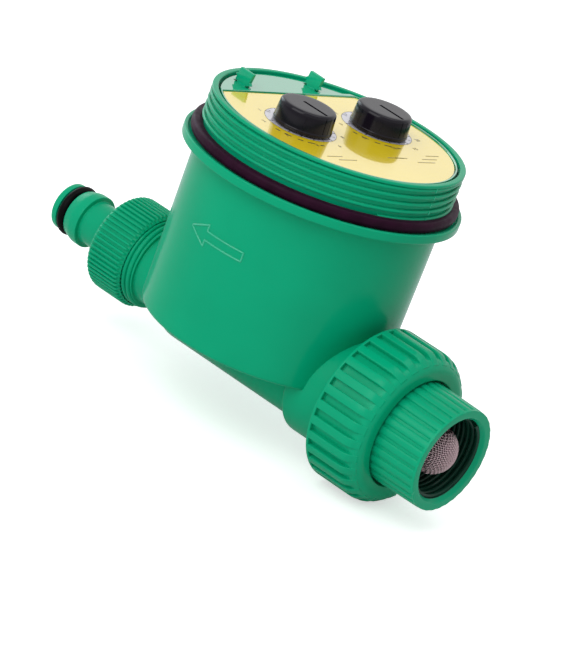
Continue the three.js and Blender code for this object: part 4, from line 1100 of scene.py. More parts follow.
@dataclass
class Housing:
    """Bucket with its lip and threaded neck, and the water pipe across its base."""

    base_radius: float = 38.3
    top_radius: float = 38.9
    wall: float = 2.0
    floor: float = 2.4
    height: float = 53.0
    lip_radius: float = 43.8
    lip_top: float = 55.8
    neck_root: float = 38.9
    neck_radius: float = 39.9
    neck_bore: float = 38.0
    ledge: float = 65.2
    rim: float = 70.0
    thread_foot: float = 58.8
    thread_pitch: float = 2.37
    thread_turns: float = 4.35
    thread_start_angle: float = -27.0
    thread_ridge: float = 0.6
    seam_angle: float = 0.0
    arrow_degrees: Row = (-106.9, -96.4, -75.6)  # tip, neck, tail
    arrow_heights: Row = (33.0, 1.4, 3.4)  # middle, shaft's half, barb
    arrow_line: float = 0.3
    arrow_steps: int = 14
    nicks: int = 5
    nick_size: tuple[float, float, float] = (0.5, 0.36, 1.3)
    nick_rounding: float = 0.18
    nick_stagger: float = 0.6
    nick_depth: float = 0.12
    seal_clearance: float = 0.12
    seal_rounding: Point = (1.0, 1.5)
    groove_width: float = 1.5
    groove_floor: float = 0.6
    pipe_radius: float = 15.8
    collar_radius: float = 18.5
    collar_start: float = 26.5
    collar_end: float = 43.8
    inlet_stub_radius: float = 20.5
    stub_radius: float = 13.5
    stub_crest: float = 14.35
    stub_ridge: float = 0.75
    stub_pitch: float = 2.0
    stub_turns: float = 5.0
    stub_root: float = -43.0
    stub_end: float = -54.8
    inlet_stub_end: float = 54.6
    boss_radius: float = 12.4
    chamber_radius: float = 9.8
    chamber_floor: float = -11.1
    waterway: float = 5.0
    stem_boss_radius: float = 6.4
    stem_boss_top: float = 26.9
    stem_bore: float = 2.8
    gland_bore: float = 4.6
    gland_foot: float = 17.0
    lug_radius: float = 3.6
    lug_top: float = 29.7

    def bucket(self) -> Object:
        """The turned bucket, lip and neck.

        Returns:
            The bucket as one solid.
        """
        bore = self.base_radius - self.wall
        return turned("housing_shell", [
            (0, 0, 0), (0, self.base_radius, 1.4), (self.height, self.top_radius, 0.5),
            (self.height, self.lip_radius, 0.5), (self.lip_top, self.lip_radius, 0.45),
            (self.lip_top, self.lip_radius - 1.2, 0.35),
            (self.lip_top - self.groove_floor, self.lip_radius - self.groove_width, 0.3),
            (self.lip_top - self.groove_floor, self.neck_root, 0.3),
            (self.rim - 1.1, self.neck_root, 0.3),
            (self.rim - 0.9, self.neck_radius, 0.3), (self.rim, self.neck_radius, 0.4),
            (self.rim, self.neck_bore, 0.4), (self.ledge, self.neck_bore, 0.2),
            (self.ledge, bore, 0.2), (self.floor, bore, 1.0), (self.floor, 0, 0),
        ], Axis.BUCKET, closed=False, segments=224, longest=2.2)

    def pipe(self) -> Object:
        """The turned pipe with its collar and the two stubs.

        Returns:
            The pipe as one solid.
        """
        x = BUCKET_X
        corners = [
            (self.stub_end, 0, 0), (self.stub_end, self.stub_radius, 0.4),
            (self.stub_root, self.stub_radius, 0.3),
            (self.stub_root, self.boss_radius, 0.3), (self.stub_root + 9, self.boss_radius, 1.5),
            (self.stub_root + 15, self.pipe_radius, 2.5), (self.collar_start, self.pipe_radius, 0.5),
            (self.collar_start, self.collar_radius, 1.8), (self.collar_end, self.collar_radius, 0.3),
            (self.collar_end, self.inlet_stub_radius, 0.3),
            (self.inlet_stub_end, self.inlet_stub_radius, 0.4), (self.inlet_stub_end, 0, 0),
        ]
        placed = [(along + x, radius, rounding) for along, radius, rounding in corners]
        return turned("pipe", placed, Axis.PIPE, closed=False, segments=128, longest=2.5)

    def rod(self, radius: float, low: float, high: float, centre: Point) -> Object:
        """An upright round solid inside the bucket.

        Args:
            radius: its radius.
            low: height of its foot.
            high: height of its top.
            centre: where it stands, from the bucket's axis.

        Returns:
            The new object.
        """
        return turned("rod", [(low, 0, 0), (low, radius, 0), (high, radius, 0), (high, 0, 0)],
                      Axis.BUCKET, closed=False, segments=48, centre=centre)

    def bore(self, radius: float, left: float, right: float) -> Object:
        """A round cutter along the pipe.

        Args:
            radius: its radius.
            left: its end towards the hose, from the bucket's axis.
            right: its end towards the tap.

        Returns:
            The new object.
        """
        x = BUCKET_X
        return turned("bore", [(left + x, 0, 0), (left + x, radius, 0), (right + x, radius, 0),
                               (right + x, 0, 0)], Axis.PIPE, closed=False, segments=72)

    def shell(self) -> Object:
        """Bucket and pipe as one solid, with the mechanism's boss and lugs inside.

        Returns:
            The housing's shell.
        """
        lugs = [middle(f"gearbox_screw_{i}") for i in (1, 2)]
        centres = [(lug.x - BUCKET_X, lug.y) for lug in lugs]
        inner = [self.rod(self.lug_radius, self.floor / 2, self.lug_top, at) for at in centres]
        boss = self.rod(self.stem_boss_radius, self.chamber_radius, self.stem_boss_top, (0, 0))
        body = combined(self.bucket(), [self.pipe(), boss, *inner], Way.JOIN)
        combined(body, [
            self.bore(self.waterway, self.stub_end - 1, 0),
            self.bore(self.chamber_radius, self.chamber_floor, self.inlet_stub_end + 1),
            self.rod(self.stem_bore, 1, self.stem_boss_top + 1, (0, 0)),
            self.rod(self.gland_bore, self.gland_foot, self.stem_boss_top + 2, (0, 0)),
        ], Way.CUT)
        return coated(smoothed(body, 28), BODY_GREEN)

    def neck_thread(self) -> Object:
        """The single helical ridge around the neck.

        Returns:
            The ridge.
        """
        ridge = self.thread_ridge
        start_angle = math.radians(self.thread_start_angle)
        holder = mesh_object("neck_thread", [], [])
        THREADS.run(holder, Radius=(self.neck_radius - ridge) * MM, Ridge=ridge * MM,
                    Turns=self.thread_turns, Rise=self.thread_pitch * self.thread_turns * MM,
                    Place=(BUCKET_X * MM, 0, self.thread_foot * MM), Turn=(0, 0, start_angle),
                    Material=BODY_GREEN, **{"Run Out": 0.012})
        return smoothed(holder, 60)

    def outlet_thread(self) -> Object:
        """The ridge on the outlet stub, where the small nut leaves it bare.

        Returns:
            The ridge.
        """
        ridge, turns = self.stub_ridge, self.stub_turns
        holder = mesh_object("outlet_thread", [], [])
        start = (BUCKET_X + self.stub_end + 0.9) * MM
        THREADS.run(holder, Radius=(self.stub_crest - ridge) * MM, Ridge=ridge * MM, Turns=turns,
                    Rise=turns * self.stub_pitch * MM, Place=(start, 0, 0),
                    Turn=(0, math.pi / 2, 0), Material=BODY_GREEN, **{"Run Out": 0.02})
        return smoothed(holder, 60)

    def wall_point(self, degrees: float, height: float) -> Vector:
        """A point on the bucket's outer wall.

        Args:
            degrees: its angle around the bucket.
            height: its height, in millimetres.

        Returns:
            The point, in metres.
        """
        radius = self.base_radius + (self.top_radius - self.base_radius) * height / self.height
        angle = math.radians(degrees)
        return Vector((BUCKET_X + radius * math.cos(angle), radius * math.sin(angle), height)) * MM

    def flow_arrow(self) -> Object:
        """The thin raised outline of an arrow that shows which way the water runs.

        Returns:
            The outline.
        """
        tip, neck, tail = self.arrow_degrees
        middle_z, half, barb = self.arrow_heights
        corners = [(tip, middle_z + 0.1), (neck, middle_z + barb), (neck, middle_z + half),
                   (tail, middle_z + half), (tail, middle_z - half), (neck, middle_z - half),
                   (neck, middle_z - barb)]
        points: list[Vector] = []
        for here, there in zip(corners, corners[1:] + corners[:1]):
            for k in range(self.arrow_steps):
                t = k / self.arrow_steps
                points.append(self.wall_point(here[0] + (there[0] - here[0]) * t,
                                              here[1] + (there[1] - here[1]) * t))
        edges = [(k, (k + 1) % len(points)) for k in range(len(points))]
        outline = mesh_object("flow_arrow", points, [], edges)
        WIRES.run(outline, Radius=self.arrow_line * MM, Sides=8, Material=MARK_AND_HIGHLIGHT_GREEN)
        return smoothed(outline, 60)

    def parting_nicks(self) -> Object:
        """Small flash marks where the mould's halves met across the neck's ridges, paler green as a
        painted highlight.

        Returns:
            The marks as one object.
        """
        nicks = []
        share = (self.seam_angle - self.thread_start_angle) / 360
        for turn in range(self.nicks):
            height = self.thread_foot + (turn + share) * self.thread_pitch
            angle = math.radians(self.seam_angle + self.nick_stagger * (turn % 2))
            radius = self.neck_radius - self.nick_depth
            centre = Vector((BUCKET_X + radius * math.cos(angle), radius * math.sin(angle), height))
            cube = bmesh.new()
            bmesh.ops.create_cube(cube, size=1)
            bmesh.ops.bevel(cube, geom=cube.edges[:], offset=self.nick_rounding, segments=2,
                            affect="EDGES")
            turn_z = Matrix.Rotation(angle, 4, "Z")
            size = Matrix.Diagonal((*self.nick_size, 1))
            cube.transform(Matrix.Scale(MM, 4) @ Matrix.Translation(centre) @ turn_z @ size)
            mesh = bpy.data.meshes.new("nick")
            cube.to_mesh(mesh)
            cube.free()
            nicks.append(linked("nick", mesh))
        return coated(smoothed(gathered("parting_nicks", nicks)), MARK_AND_HIGHLIGHT_GREEN)

    def seal(self) -> Object:
        """The ring seal that lies on the lip around the neck.

        Returns:
            The seal.
        """
        foot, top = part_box("body_seal")[0].z / MM, top_of("body_seal")
        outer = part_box("body_seal")[1].y / MM - 0.02
        inner = self.neck_root + self.seal_clearance
        tight, wide = self.seal_rounding
        corners = [(foot, inner, tight), (foot, outer, wide), (top, outer, wide), (top, inner, tight)]
        return coated(turned("neck_seal", corners, Axis.BUCKET, segments=200), SEAL_RUBBER)

    def build(self) -> None:
        settled(self.shell(), "housing", ["housing"])
        settled(self.neck_thread(), "housing")
        settled(self.outlet_thread(), "housing")
        settled(self.flow_arrow(), "housing")
        settled(self.parting_nicks(), "housing")
        settled(self.seal(), "housing", ["body_seal"])


# ---------------------------------------------------------------- inlet


@dataclass
class UnionNut:
    """Large nut that clamps the tap adapter, with deep grooves between its ribs."""

    back: float = 43.5
    length: float = 19.1
    radius: float = 25.18
    groove_depth: float = 1.45
    groove_width: float = 2.4
    groove_end: float = 1.9
    rib_end: float = 0.9
    back_band: float = 1.0
    ribs: int = 30
    hole: float = 17.75
    bore: float = 21.7
    front_wall: float = 3.4
    shoulder: float = 3.8
    shoulder_depth: float = 3.9

    def build(self) -> None:
        back = self.back + BUCKET_X
        front = back + self.length
        root = self.radius - self.groove_depth
        body = turned("nut_body", [
            (back, self.bore, 0.4), (back, self.radius, 0.45),
            (back + self.back_band, self.radius, 0.25), (back + self.back_band, root, 0.2),
            (front - self.groove_end, root, 1.4), (front, self.radius - self.shoulder_depth, 1.2),
            (front, self.hole, 0.5), (front - self.front_wall, self.hole, 0.3),
            (front - self.front_wall, self.bore, 0.3),
        ], Axis.PIPE, segments=180)
        coated(body, FITTING_GREEN)
        shoulder = rounded([(back, self.radius, 0), (front - self.shoulder, self.radius, 2.2),
                            (front - self.rib_end, root - 1.0, 0)], False, 8)
        rib = Rib(start=back + self.back_band / 2, end=front - self.rib_end, foot=root - 1.6,
                  width=2 * math.pi * self.radius / self.ribs - self.groove_width,
                  outline=along_profile(shoulder), stations=26)
        ribs = rib.ring("nut_ribs", self.ribs, FITTING_GREEN)
        nut = gathered("ribbed_union_nut", [body, ribs])
        settled(smoothed(nut), "union_nut", ["union_nut"])


@dataclass
class TapAdapter:
    """Sleeve that screws onto the tap: fine ribs outside and a thread inside."""

    back: float = 56.4
    face: float = 78.7
    flange_front: float = 58.9
    flange_radius: float = 21.1
    root_radius: float = 17.15
    tip_radius: float = 16.75
    rib_height: float = 0.5
    ribs: int = 32
    rib_width: float = 2.55
    major: float = 13.2
    minor: float = 12.25
    mouth: float = 14.2
    end_band: float = 1.1
    thread_ridge: float = 0.62
    thread_turns: float = 5.4
    thread_pitch: float = 1.8
    chamfer: float = 1.4
    waterway: float = 9.0
    socket_floor: float = 63.2

    def painted_bore_shade(self, body: Object) -> Object:
        """Paints the sleeve's bore, back from its mouth, a darker green as painted shade in the thread.

        Args:
            body: the sleeve, changed in place.

        Returns:
            The same object.
        """
        body.data.materials.append(BORE_SHADE_GREEN)
        edge = (self.face + BUCKET_X - 1.0) * MM
        for face in body.data.polygons:
            radius = math.hypot(face.center.y, face.center.z)
            if radius < (self.mouth - 0.15) * MM and face.center.x < edge:
                face.material_index = 1
        return body

    def build(self) -> None:
        x = BUCKET_X
        body = turned("sleeve", [
            (self.back + x, self.waterway, 0.3), (self.back + x, self.flange_radius, 0.3),
            (self.flange_front + x, self.flange_radius, 0.3),
            (self.flange_front + x, self.root_radius - self.rib_height, 0.3),
            (self.face - self.end_band + x, self.tip_radius - self.rib_height, 0.2),
            (self.face - self.end_band + 0.25 + x, self.tip_radius - 0.06, 0.15),
            (self.face + x, self.tip_radius - 0.1, 0.3),
            (self.face + x, self.mouth, 0.35), (self.face - self.chamfer + x, self.major, 0.2),
            (self.socket_floor + x, self.major, 0.4), (self.socket_floor + x, self.waterway, 0.4),
        ], Axis.PIPE, segments=160)
        coated(body, FITTING_GREEN)
        first = self.flange_front + x + 0.2
        last = self.face + x - 0.02
        outline = along_profile([(first, self.root_radius), (last - 0.3, self.tip_radius + 0.006),
                                 (last, self.tip_radius - 0.12)])
        rib = Rib(start=first, end=last, foot=self.tip_radius - self.rib_height - 0.9,
                  width=self.rib_width, outline=outline, side_round=0.85, top_round=0.5, stations=14)
        ribs = rib.ring("sleeve_ribs", self.ribs, FITTING_GREEN)
        ridge, rise = self.thread_ridge, self.thread_turns * self.thread_pitch
        # The inner thread takes the same painted shade as the bore.
        thread = mesh_object("sleeve_thread", [], [])
        THREADS.run(thread, Radius=(self.minor + ridge) * MM, Ridge=ridge * MM,
                    Turns=self.thread_turns, Rise=rise * MM,
                    Place=((self.face + x - self.chamfer - 0.2 - rise) * MM, 0, 0),
                    Turn=(0, math.pi / 2, 0), Material=BORE_SHADE_GREEN, **{"Run Out": 0.02})
        sleeve = gathered("ribbed_tap_adapter", [self.painted_bore_shade(body), ribs, smoothed(thread, 60)])
        settled(smoothed(sleeve), "tap_adapter", ["tap_adapter"])


@dataclass
class Strainer:
    """Woven wire thimble in the tap adapter, with a dark dome just inside the wires as painted shade
    for the hollow behind the mesh.
    """

    radius: float = 7.8
    wall: float = 0.8
    brim: float = 1.6
    sleeve: float = 4.6
    pitch: float = 0.6
    wire: float = 0.13
    swing: float = 0.1
    sample: float = 0.15
    # gap and wall of the dark dome of painted shade inside the wires
    shade_gap: float = 0.22
    shade_wall: float = 0.3
    brim_length: float = 0.5
    dome_steps: int = 16

    def wires(self, foot: float) -> Object:
        """Both families of wires over the round end, and hoops around the sleeve.

        Args:
            foot: place of the brim along the pipe, in millimetres.

        Returns:
            The swept wires.
        """
        middle_radius = self.radius - self.wire - self.swing
        round_start = foot + self.sleeve
        lines: list[tuple[list[Vector], bool]] = []
        last = math.floor((middle_radius - 0.3) / self.pitch)
        for family in (0, 1):
            for number in range(-last, last + 1):
                across = number * self.pitch
                arc = math.sqrt(middle_radius ** 2 - across ** 2)
                count = max(10, round(math.pi * arc / self.sample))
                line = []
                for k in range(count + 1):
                    angle = math.pi * (k / count - 0.5)
                    side, front = arc * math.sin(angle), arc * math.cos(angle)
                    sign = -1 if family else 1
                    wave = sign * self.swing * math.cos(math.pi * (side / self.pitch + number))
                    spot = Vector((front, across, side) if family == 0 else (front, side, across))
                    spot *= (middle_radius + wave) / middle_radius
                    line.append((spot + Vector((round_start, 0, 0))) * MM)
                first, end = line[0].copy(), line[-1].copy()
                first.x = end.x = (foot + self.wall) * MM
                lines.append(([first, *line, end], False))
        for hoop in range(1, int(self.sleeve / self.pitch)):
            at = foot + self.wall + hoop * self.pitch
            ring = [Vector((at, y, z)) * MM for y, z in circle(middle_radius, count=80)]
            lines.append((ring, True))
        points: list[Vector] = []
        edges: list[tuple[int, int]] = []
        for line, ring in lines:
            base = len(points)
            points += line
            edges += [(base + k, base + k + 1) for k in range(len(line) - 1)]
            if ring:
                edges.append((base + len(line) - 1, base))
        woven = mesh_object("strainer_wires", points, [], edges)
        return smoothed(WIRES.run(woven, Radius=self.wire * MM, Sides=5, Material=WIRE_METAL), 80)

    def build(self) -> None:
        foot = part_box("filter_dome")[0].x / MM
        start = foot + self.sleeve
        back = self.radius - self.wire - 2 * self.swing - self.shade_gap
        inner = back - self.shade_wall
        turns = [math.pi / 2 * k / self.dome_steps for k in range(self.dome_steps + 1)]
        outside = [(start + back * math.sin(a), back * math.cos(a), 0.0) for a in reversed(turns[:-1])]
        inside = [(start + inner * math.sin(a), inner * math.cos(a), 0.0) for a in turns[:-1]]
        # A dark dome just inside the wires: painted shade for the hollow behind the mesh.
        shade_dome = coated(turned("strainer_shade_dome", [
            (start + back, 0, 0), *outside, (foot + 0.9, back, 0), (foot, back, 0), (foot, inner, 0),
            *inside, (start + inner, 0, 0)], Axis.PIPE, closed=False, segments=96), PAINTED_STRAINER_SHADE)
        brim = coated(turned("strainer_brim", [
            (foot, self.radius - self.wall, 0.1), (foot, self.radius + self.brim, 0.25),
            (foot + self.wall, self.radius + self.brim, 0.25), (foot + self.wall, self.radius, 0.15),
            (foot + self.wall + self.brim_length, self.radius, 0.1),
            (foot + self.wall + self.brim_length, self.radius - self.wall, 0.1),
        ], Axis.PIPE, segments=96), WIRE_METAL)
        thimble = gathered("woven_strainer", [shade_dome, brim, self.wires(foot)])
        settled(thimble, "filter", ["filter_dome"])


# ---------------------------------------------------------------- outlet


@dataclass
class OutletNut:
    """Small nut with fine ribs that holds the nozzle."""

    right: float = -46.8
    length: float = 14.9
    radius: float = 16.0
    rib_height: float = 0.8
    ribs: int = 60
    rib_width: float = 0.9
    wall: float = 2.8
    shoulder: float = 1.4
    bore: float = 14.7
    hole: float = 7.6

    def build(self) -> None:
        right = self.right + BUCKET_X
        left = right - self.length
        root = self.radius - self.rib_height
        body = turned("nut_body", [
            (right, self.bore, 0.5), (left + self.wall, self.bore, 0.3),
            (left + self.wall, self.hole, 0.2), (left, self.hole, 0.4),
            (left, self.radius - self.shoulder - 0.3, 0.9), (left + self.shoulder, root, 0.9),
            (right - 0.7, root, 0.4), (right, root - 0.45, 0.3),
        ], Axis.PIPE, segments=180)
        coated(body, FITTING_GREEN)
        crest = rounded([(left + 0.1, self.radius - self.shoulder - 0.45, 0),
                         (left + self.shoulder, self.radius, 1.3), (right - 0.8, self.radius, 0.5),
                         (right - 0.15, root - 0.25, 0)], False, 7)
        rib = Rib(start=left + 0.12, end=right - 0.16, foot=root - 2.4, width=self.rib_width,
                  outline=along_profile(crest), side_round=0.36, top_round=0.42, stations=26,
                  corner_steps=3)
        ribs = rib.ring("nut_ribs", self.ribs, FITTING_GREEN)
        nut = gathered("ribbed_outlet_nut", [body, ribs])
        settled(smoothed(nut), "outlet_nut", ["outlet_nut"])


@dataclass
class Nozzle:
    """Push-on hose nozzle with its ring seal."""

    tail: float = -58.6
    tail_end: float = -56.6
    tail_radius: float = 14.1
    neck: float = 7.3
    catch_start: float = -73.5
    catch_end: float = -76.5
    catch_radius: float = 8.8
    barrel: float = 7.8
    groove_start: float = -79.8
    groove_end: float = -83.4
    groove_radius: float = 5.1
    seal_radius: float = 8.4
    seal_section: float = 3.0
    tip: float = -85.7
    bore: float = 4.6

    def build(self) -> None:
        x = BUCKET_X
        corners = [
            (self.tail_end, self.bore, 0.2), (self.tip, self.bore, 0.5), (self.tip, self.barrel, 0.9),
            (self.groove_end, self.barrel, 0.25), (self.groove_end, self.groove_radius, 0.2),
            (self.groove_start, self.groove_radius, 0.2), (self.groove_start, self.barrel, 0.25),
            (self.catch_end, self.catch_radius, 0.6), (self.catch_start, self.catch_radius, 0.35),
            (self.catch_start, self.neck, 0.35), (self.tail, self.neck, 0.3),
            (self.tail, self.tail_radius, 0.2), (self.tail_end, self.tail_radius, 0.2),
        ]
        placed = [(along + x, radius, rounding) for along, radius, rounding in corners]
        tube = coated(turned("hose_nozzle", placed, Axis.PIPE, segments=128, longest=3.0),
                      FITTING_GREEN)
        settled(tube, "nozzle", ["nozzle"])
        half = self.seal_section / 2
        at = (self.groove_start + self.groove_end) / 2 + x
        turns = [2 * math.pi * k / 18 for k in range(18)]
        section = [(at + half * math.sin(a), self.seal_radius - half + half * math.cos(a), 0.0)
                   for a in turns]
        ring = coated(turned("nozzle_ring_seal", section, Axis.PIPE, segments=112), BLACK_RUBBER)
        settled(ring, "nozzle", ["nozzle_seal"])


# ---------------------------------------------------------------- panel


@dataclass
class Panel:
    """The neck's floor: moulded panel with its label, dials, print and battery cover."""

    low: float = 65.5
    top: float = top_of("control_panel")
    label_top: float = top_of("panel_label")
    label_thickness: float = 0.4
    radius: float = 37.2
    label_radius: float = 36.4
    panel_chord: float = -24.57
    label_chord: float = -22.77
    cover_chord: float = -24.97
    cover_top: float = top_of("battery_cover")
    shaft_hole: float = 3.6
    board_post_radius: float = 2.8
    board_posts: tuple[Point, ...] = ((26, 0), (-16, 24), (-16, -24))
    post_foot: float = 55.8
    dial_x: float = 0.3
    dial_spacing: float = 32.9
    dial_sweep: float = 290.0
    recess_gap: float = 0.3
    pilot_radius: float = 1.4
    print_gap: float = 0.002
    print_rise: float = 0.03
    ring_rise: float = 0.02
    ring_shift: Point = (-1.4, 0.9)
    ring_inner: float = 7.2
    ring_outer: float = 11.1
    ring_line: float = 0.16
    ring_steps: int = 96
    tick_radius: float = 10.4
    tick_width: float = 0.26
    tick_lengths: Point = (1.5, 0.8)
    number_radius: float = 13.3
    number_rise: float = 0.012
    dash_width: float = 0.45
    dashes: tuple[Row, ...] = (  # degrees, distance from the dial's centre, length
        (-78, 12.6, 1.6), (-62, 12.5, 2.2), (-44, 12.7, 1.8), (-28, 12.5, 2.4), (-12, 12.8, 1.5))
    rule_width: float = 0.3
    rule_rows: tuple[Row, ...] = (  # place along X and Y, length
        (19.5, 6.0, 7.0), (19.5, 8.2, 5.4), (22.0, 17.0, 7.6), (19.8, 20.5, 6.4), (17.4, 24.0, 5.6),
        (22.0, -17.0, 7.6), (19.8, -20.5, 6.4), (-16.5, 0, 9.0), (-14.3, 0, 6.0))
    slot_half: Point = (3.2, 0.9)
    slot_y: float = 15.0

    def dials(self) -> list[Point]:
        """Centres of the left and the right dial, in the panel's own axes."""
        return [(self.dial_x, -self.dial_spacing / 2), (self.dial_x, self.dial_spacing / 2)]

    def panel(self) -> Object:
        """The moulded plate with its raised border.

        Returns:
            The plate.
        """
        base = plate("control_panel_shell", segment(self.radius, self.panel_chord, True),
                     self.low, self.top)
        gap = self.recess_gap
        recess = plate("recess", segment(self.label_radius + gap, self.label_chord - gap, True),
                       self.label_top - self.label_thickness - gap, self.top + 1)
        holes = [plate("hole", circle(self.shaft_hole, at), self.low - 1, self.top + 1)
                 for at in self.dials()]
        posts = [plate("post", circle(self.board_post_radius, at, 32), self.post_foot, self.low + 0.5)
                 for at in self.board_posts]
        pilots = [plate("pilot", circle(self.pilot_radius, at, 24), self.post_foot - 1, self.low)
                  for at in self.board_posts]
        combined(base, posts, Way.JOIN)
        combined(base, [recess, *holes, *pilots], Way.CUT)
        return coated(bevelled(base, 0.16, 2), COVER_GREEN)

    def label(self) -> Object:
        """The glossy printed sheet.

        Returns:
            The sheet.
        """
        sheet = plate("printed_label", segment(self.label_radius, self.label_chord, True),
                      self.label_top - self.label_thickness, self.label_top)
        holes = [plate("hole", circle(self.shaft_hole, at), self.low, self.top)
                 for at in self.dials()]
        combined(sheet, holes, Way.CUT)
        return coated(bevelled(sheet, 0.08, 2), LABEL_YELLOW)

    def band(self, inner: float, outer: float, centre: Point, rise: float,
             material: bpy.types.Material) -> Object:
        """A flat printed ring around a dial.

        Args:
            inner: its inner radius.
            outer: its outer radius.
            centre: its centre, in the panel's own axes.
            rise: its height above the label.
            material: its finish.

        Returns:
            The ring.
        """
        count = self.ring_steps
        floor, roof = self.label_top + self.print_gap, self.label_top + rise
        rings = [(inner, floor), (outer, floor), (outer, roof), (inner, roof)]
        points = [PANEL_PLACE @ (Vector((x, y, z)) * MM) for radius, z in rings
                  for x, y in circle(radius, centre, count)]
        faces = [(r * count + k, r * count + (k + 1) % count, (r + 1) % 4 * count + (k + 1) % count,
                  (r + 1) % 4 * count + k) for r in range(4) for k in range(count)]
        return coated(outward(mesh_object("band", points, faces)), material)

    def mark(self, name: str, centre: Point, size: Point, turn: float,
             material: bpy.types.Material) -> Object:
        """A small printed bar on the label.

        Args:
            name: the object's name.
            centre: its centre, in the panel's own axes.
            size: its length and width.
            turn: its direction, in radians.
            material: its finish.

        Returns:
            The bar.
        """
        length, width = size
        corners = [Vector((sx * length / 2, sy * width / 2, 0)) for sx, sy in
                   ((-1, -1), (1, -1), (1, 1), (-1, 1))]
        spin = Matrix.Rotation(turn, 4, "Z")
        outline = [spin @ corner for corner in corners]
        flat = [(centre[0] + corner.x, centre[1] + corner.y) for corner in outline]
        return coated(plate(name, flat, self.label_top + self.print_gap,
                            self.label_top + 2 * self.print_rise), material)

    def ticks(self, centre: Point, count: int, start: float, step: float, length: float) -> Object:
        """Printed ticks around a dial, the first at a given angle.

        Args:
            centre: the dial's centre, in the panel's own axes.
            count: how many ticks there are.
            start: the first one's angle, in radians.
            step: the angle from one to the next.
            length: a tick's length.

        Returns:
            The ticks as one object.
        """
        spin = Matrix.Rotation(PANEL_TURN + start, 4, "Z")
        tick = block(spin, (self.tick_radius - length / 2, self.tick_radius + length / 2),
                     (-self.tick_width / 2, self.tick_width / 2),
                     (self.label_top + self.print_gap, self.label_top + 2 * self.print_rise))
        dial = PANEL_PLACE @ (Vector((*centre, 0)) * MM) / MM
        return RINGS.around(tick, count, Axis.BUCKET, INK, dial, step)

    def number(self, text: str, centre: Point, turn: float, height: float = 2.0) -> Object:
        """One plain number printed on the label.

        Args:
            text: the number.
            centre: its middle, in the panel's own axes.
            turn: its direction, in radians.
            height: the height of its figures.

        Returns:
            The number.
        """
        curve = bpy.data.curves.new("number", "FONT")
        curve.body = text
        curve.size = height * MM
        curve.align_x = "CENTER"
        curve.align_y = "CENTER"
        curve.extrude = self.number_rise * MM
        curve.resolution_u = 3
        holder = linked("number", curve)
        depsgraph = bpy.context.evaluated_depsgraph_get()
        mesh = bpy.data.meshes.new_from_object(holder.evaluated_get(depsgraph))
        bpy.data.objects.remove(holder)
        place = Matrix.Translation(Vector((*centre, self.label_top + self.ring_rise)) * MM)
        mesh.transform(PANEL_PLACE @ place @ Matrix.Rotation(turn, 4, "Z"))
        return coated(linked("number", mesh), INK)

    def dial_print(self, name: str, centre: Point, numbers: Sequence[str]) -> Object:
        """The ring, ticks and plain numbers around one dial.

        Args:
            name: the object's name.
            centre: the dial's centre, in the panel's own axes.
            numbers: its numbers, in order.

        Returns:
            The print as one object.
        """
        sweep = math.radians(self.dial_sweep)
        step = sweep / (len(numbers) - 1)
        ring = (centre[0] + self.ring_shift[0], centre[1] + self.ring_shift[1])
        edge = self.ring_outer
        long, short = self.tick_lengths
        parts = [self.band(self.ring_inner, edge, ring, self.ring_rise, DIAL_WHITE),
                 self.band(edge, edge + self.ring_line, ring, self.print_rise, INK),
                 self.ticks(ring, len(numbers), -sweep / 2, step, long),
                 self.ticks(ring, 2 * len(numbers) - 2, (step - sweep) / 4, step / 2, short)]
        for degrees, reach, length in self.dashes:
            angle = math.radians(degrees)
            spot = (centre[0] + reach * math.cos(angle), centre[1] + reach * math.sin(angle))
            parts.append(self.mark("dash", spot, (length, self.dash_width), angle + math.pi / 2, INK))
        for i, text in enumerate(numbers):
            angle = -sweep / 2 + step * i
            spot = (centre[0] + self.number_radius * math.cos(angle),
                    centre[1] + self.number_radius * math.sin(angle))
            parts.append(self.number(text, spot, math.pi / 2))
        return gathered(name, parts)

    def rules(self) -> Object:
        """Short plain lines in the places of the label's small print.

        Returns:
            The lines as one object.
        """
        marks = [self.mark("rule", (x, y), (length, self.rule_width), math.pi / 2, PALE_INK)
                 for x, y, length in self.rule_rows]
        return gathered("label_rules", marks)

    def cover(self) -> Object:
        """The battery cover with the two latch slots.

        Returns:
            The cover.
        """
        base = plate("battery_cover_shell", segment(self.radius, self.cover_chord, False, 90),
                     self.low, self.cover_top)
        slots = []
        for name in ("left_latch", "right_latch"):
            at = PANEL_PLACE.inverted() @ (middle(name) * MM) / MM
            reach, half = self.slot_half
            x0, x1 = at.x - reach, at.x + reach
            y_mid = math.copysign(self.slot_y, at.y)
            outline = [(x0, y_mid - half), (x1, y_mid - half), (x1, y_mid + half), (x0, y_mid + half)]
            slots.append(plate("slot", outline, self.low - 1, self.cover_top + 1))
        combined(base, slots, Way.CUT)
        return coated(bevelled(base, 0.2, 2), COVER_GREEN)

    def build(self) -> None:
        settled(self.panel(), "housing", ["control_panel"])
        settled(self.label(), "housing", ["panel_label"])
        left, right = self.dials()
        for side, centre, numbers in (("left", left, ["1", "2", "3", "4", "6", "8", "12", "24"]),
                                      ("right", right, ["1", "3", "5", "10", "15", "20", "30", "60"])):
            settled(self.dial_print(f"{side}_dial_print", centre, numbers), "housing")
        settled(self.rules(), "housing")
        settled(self.cover(), "battery_cover", ["battery_cover"])


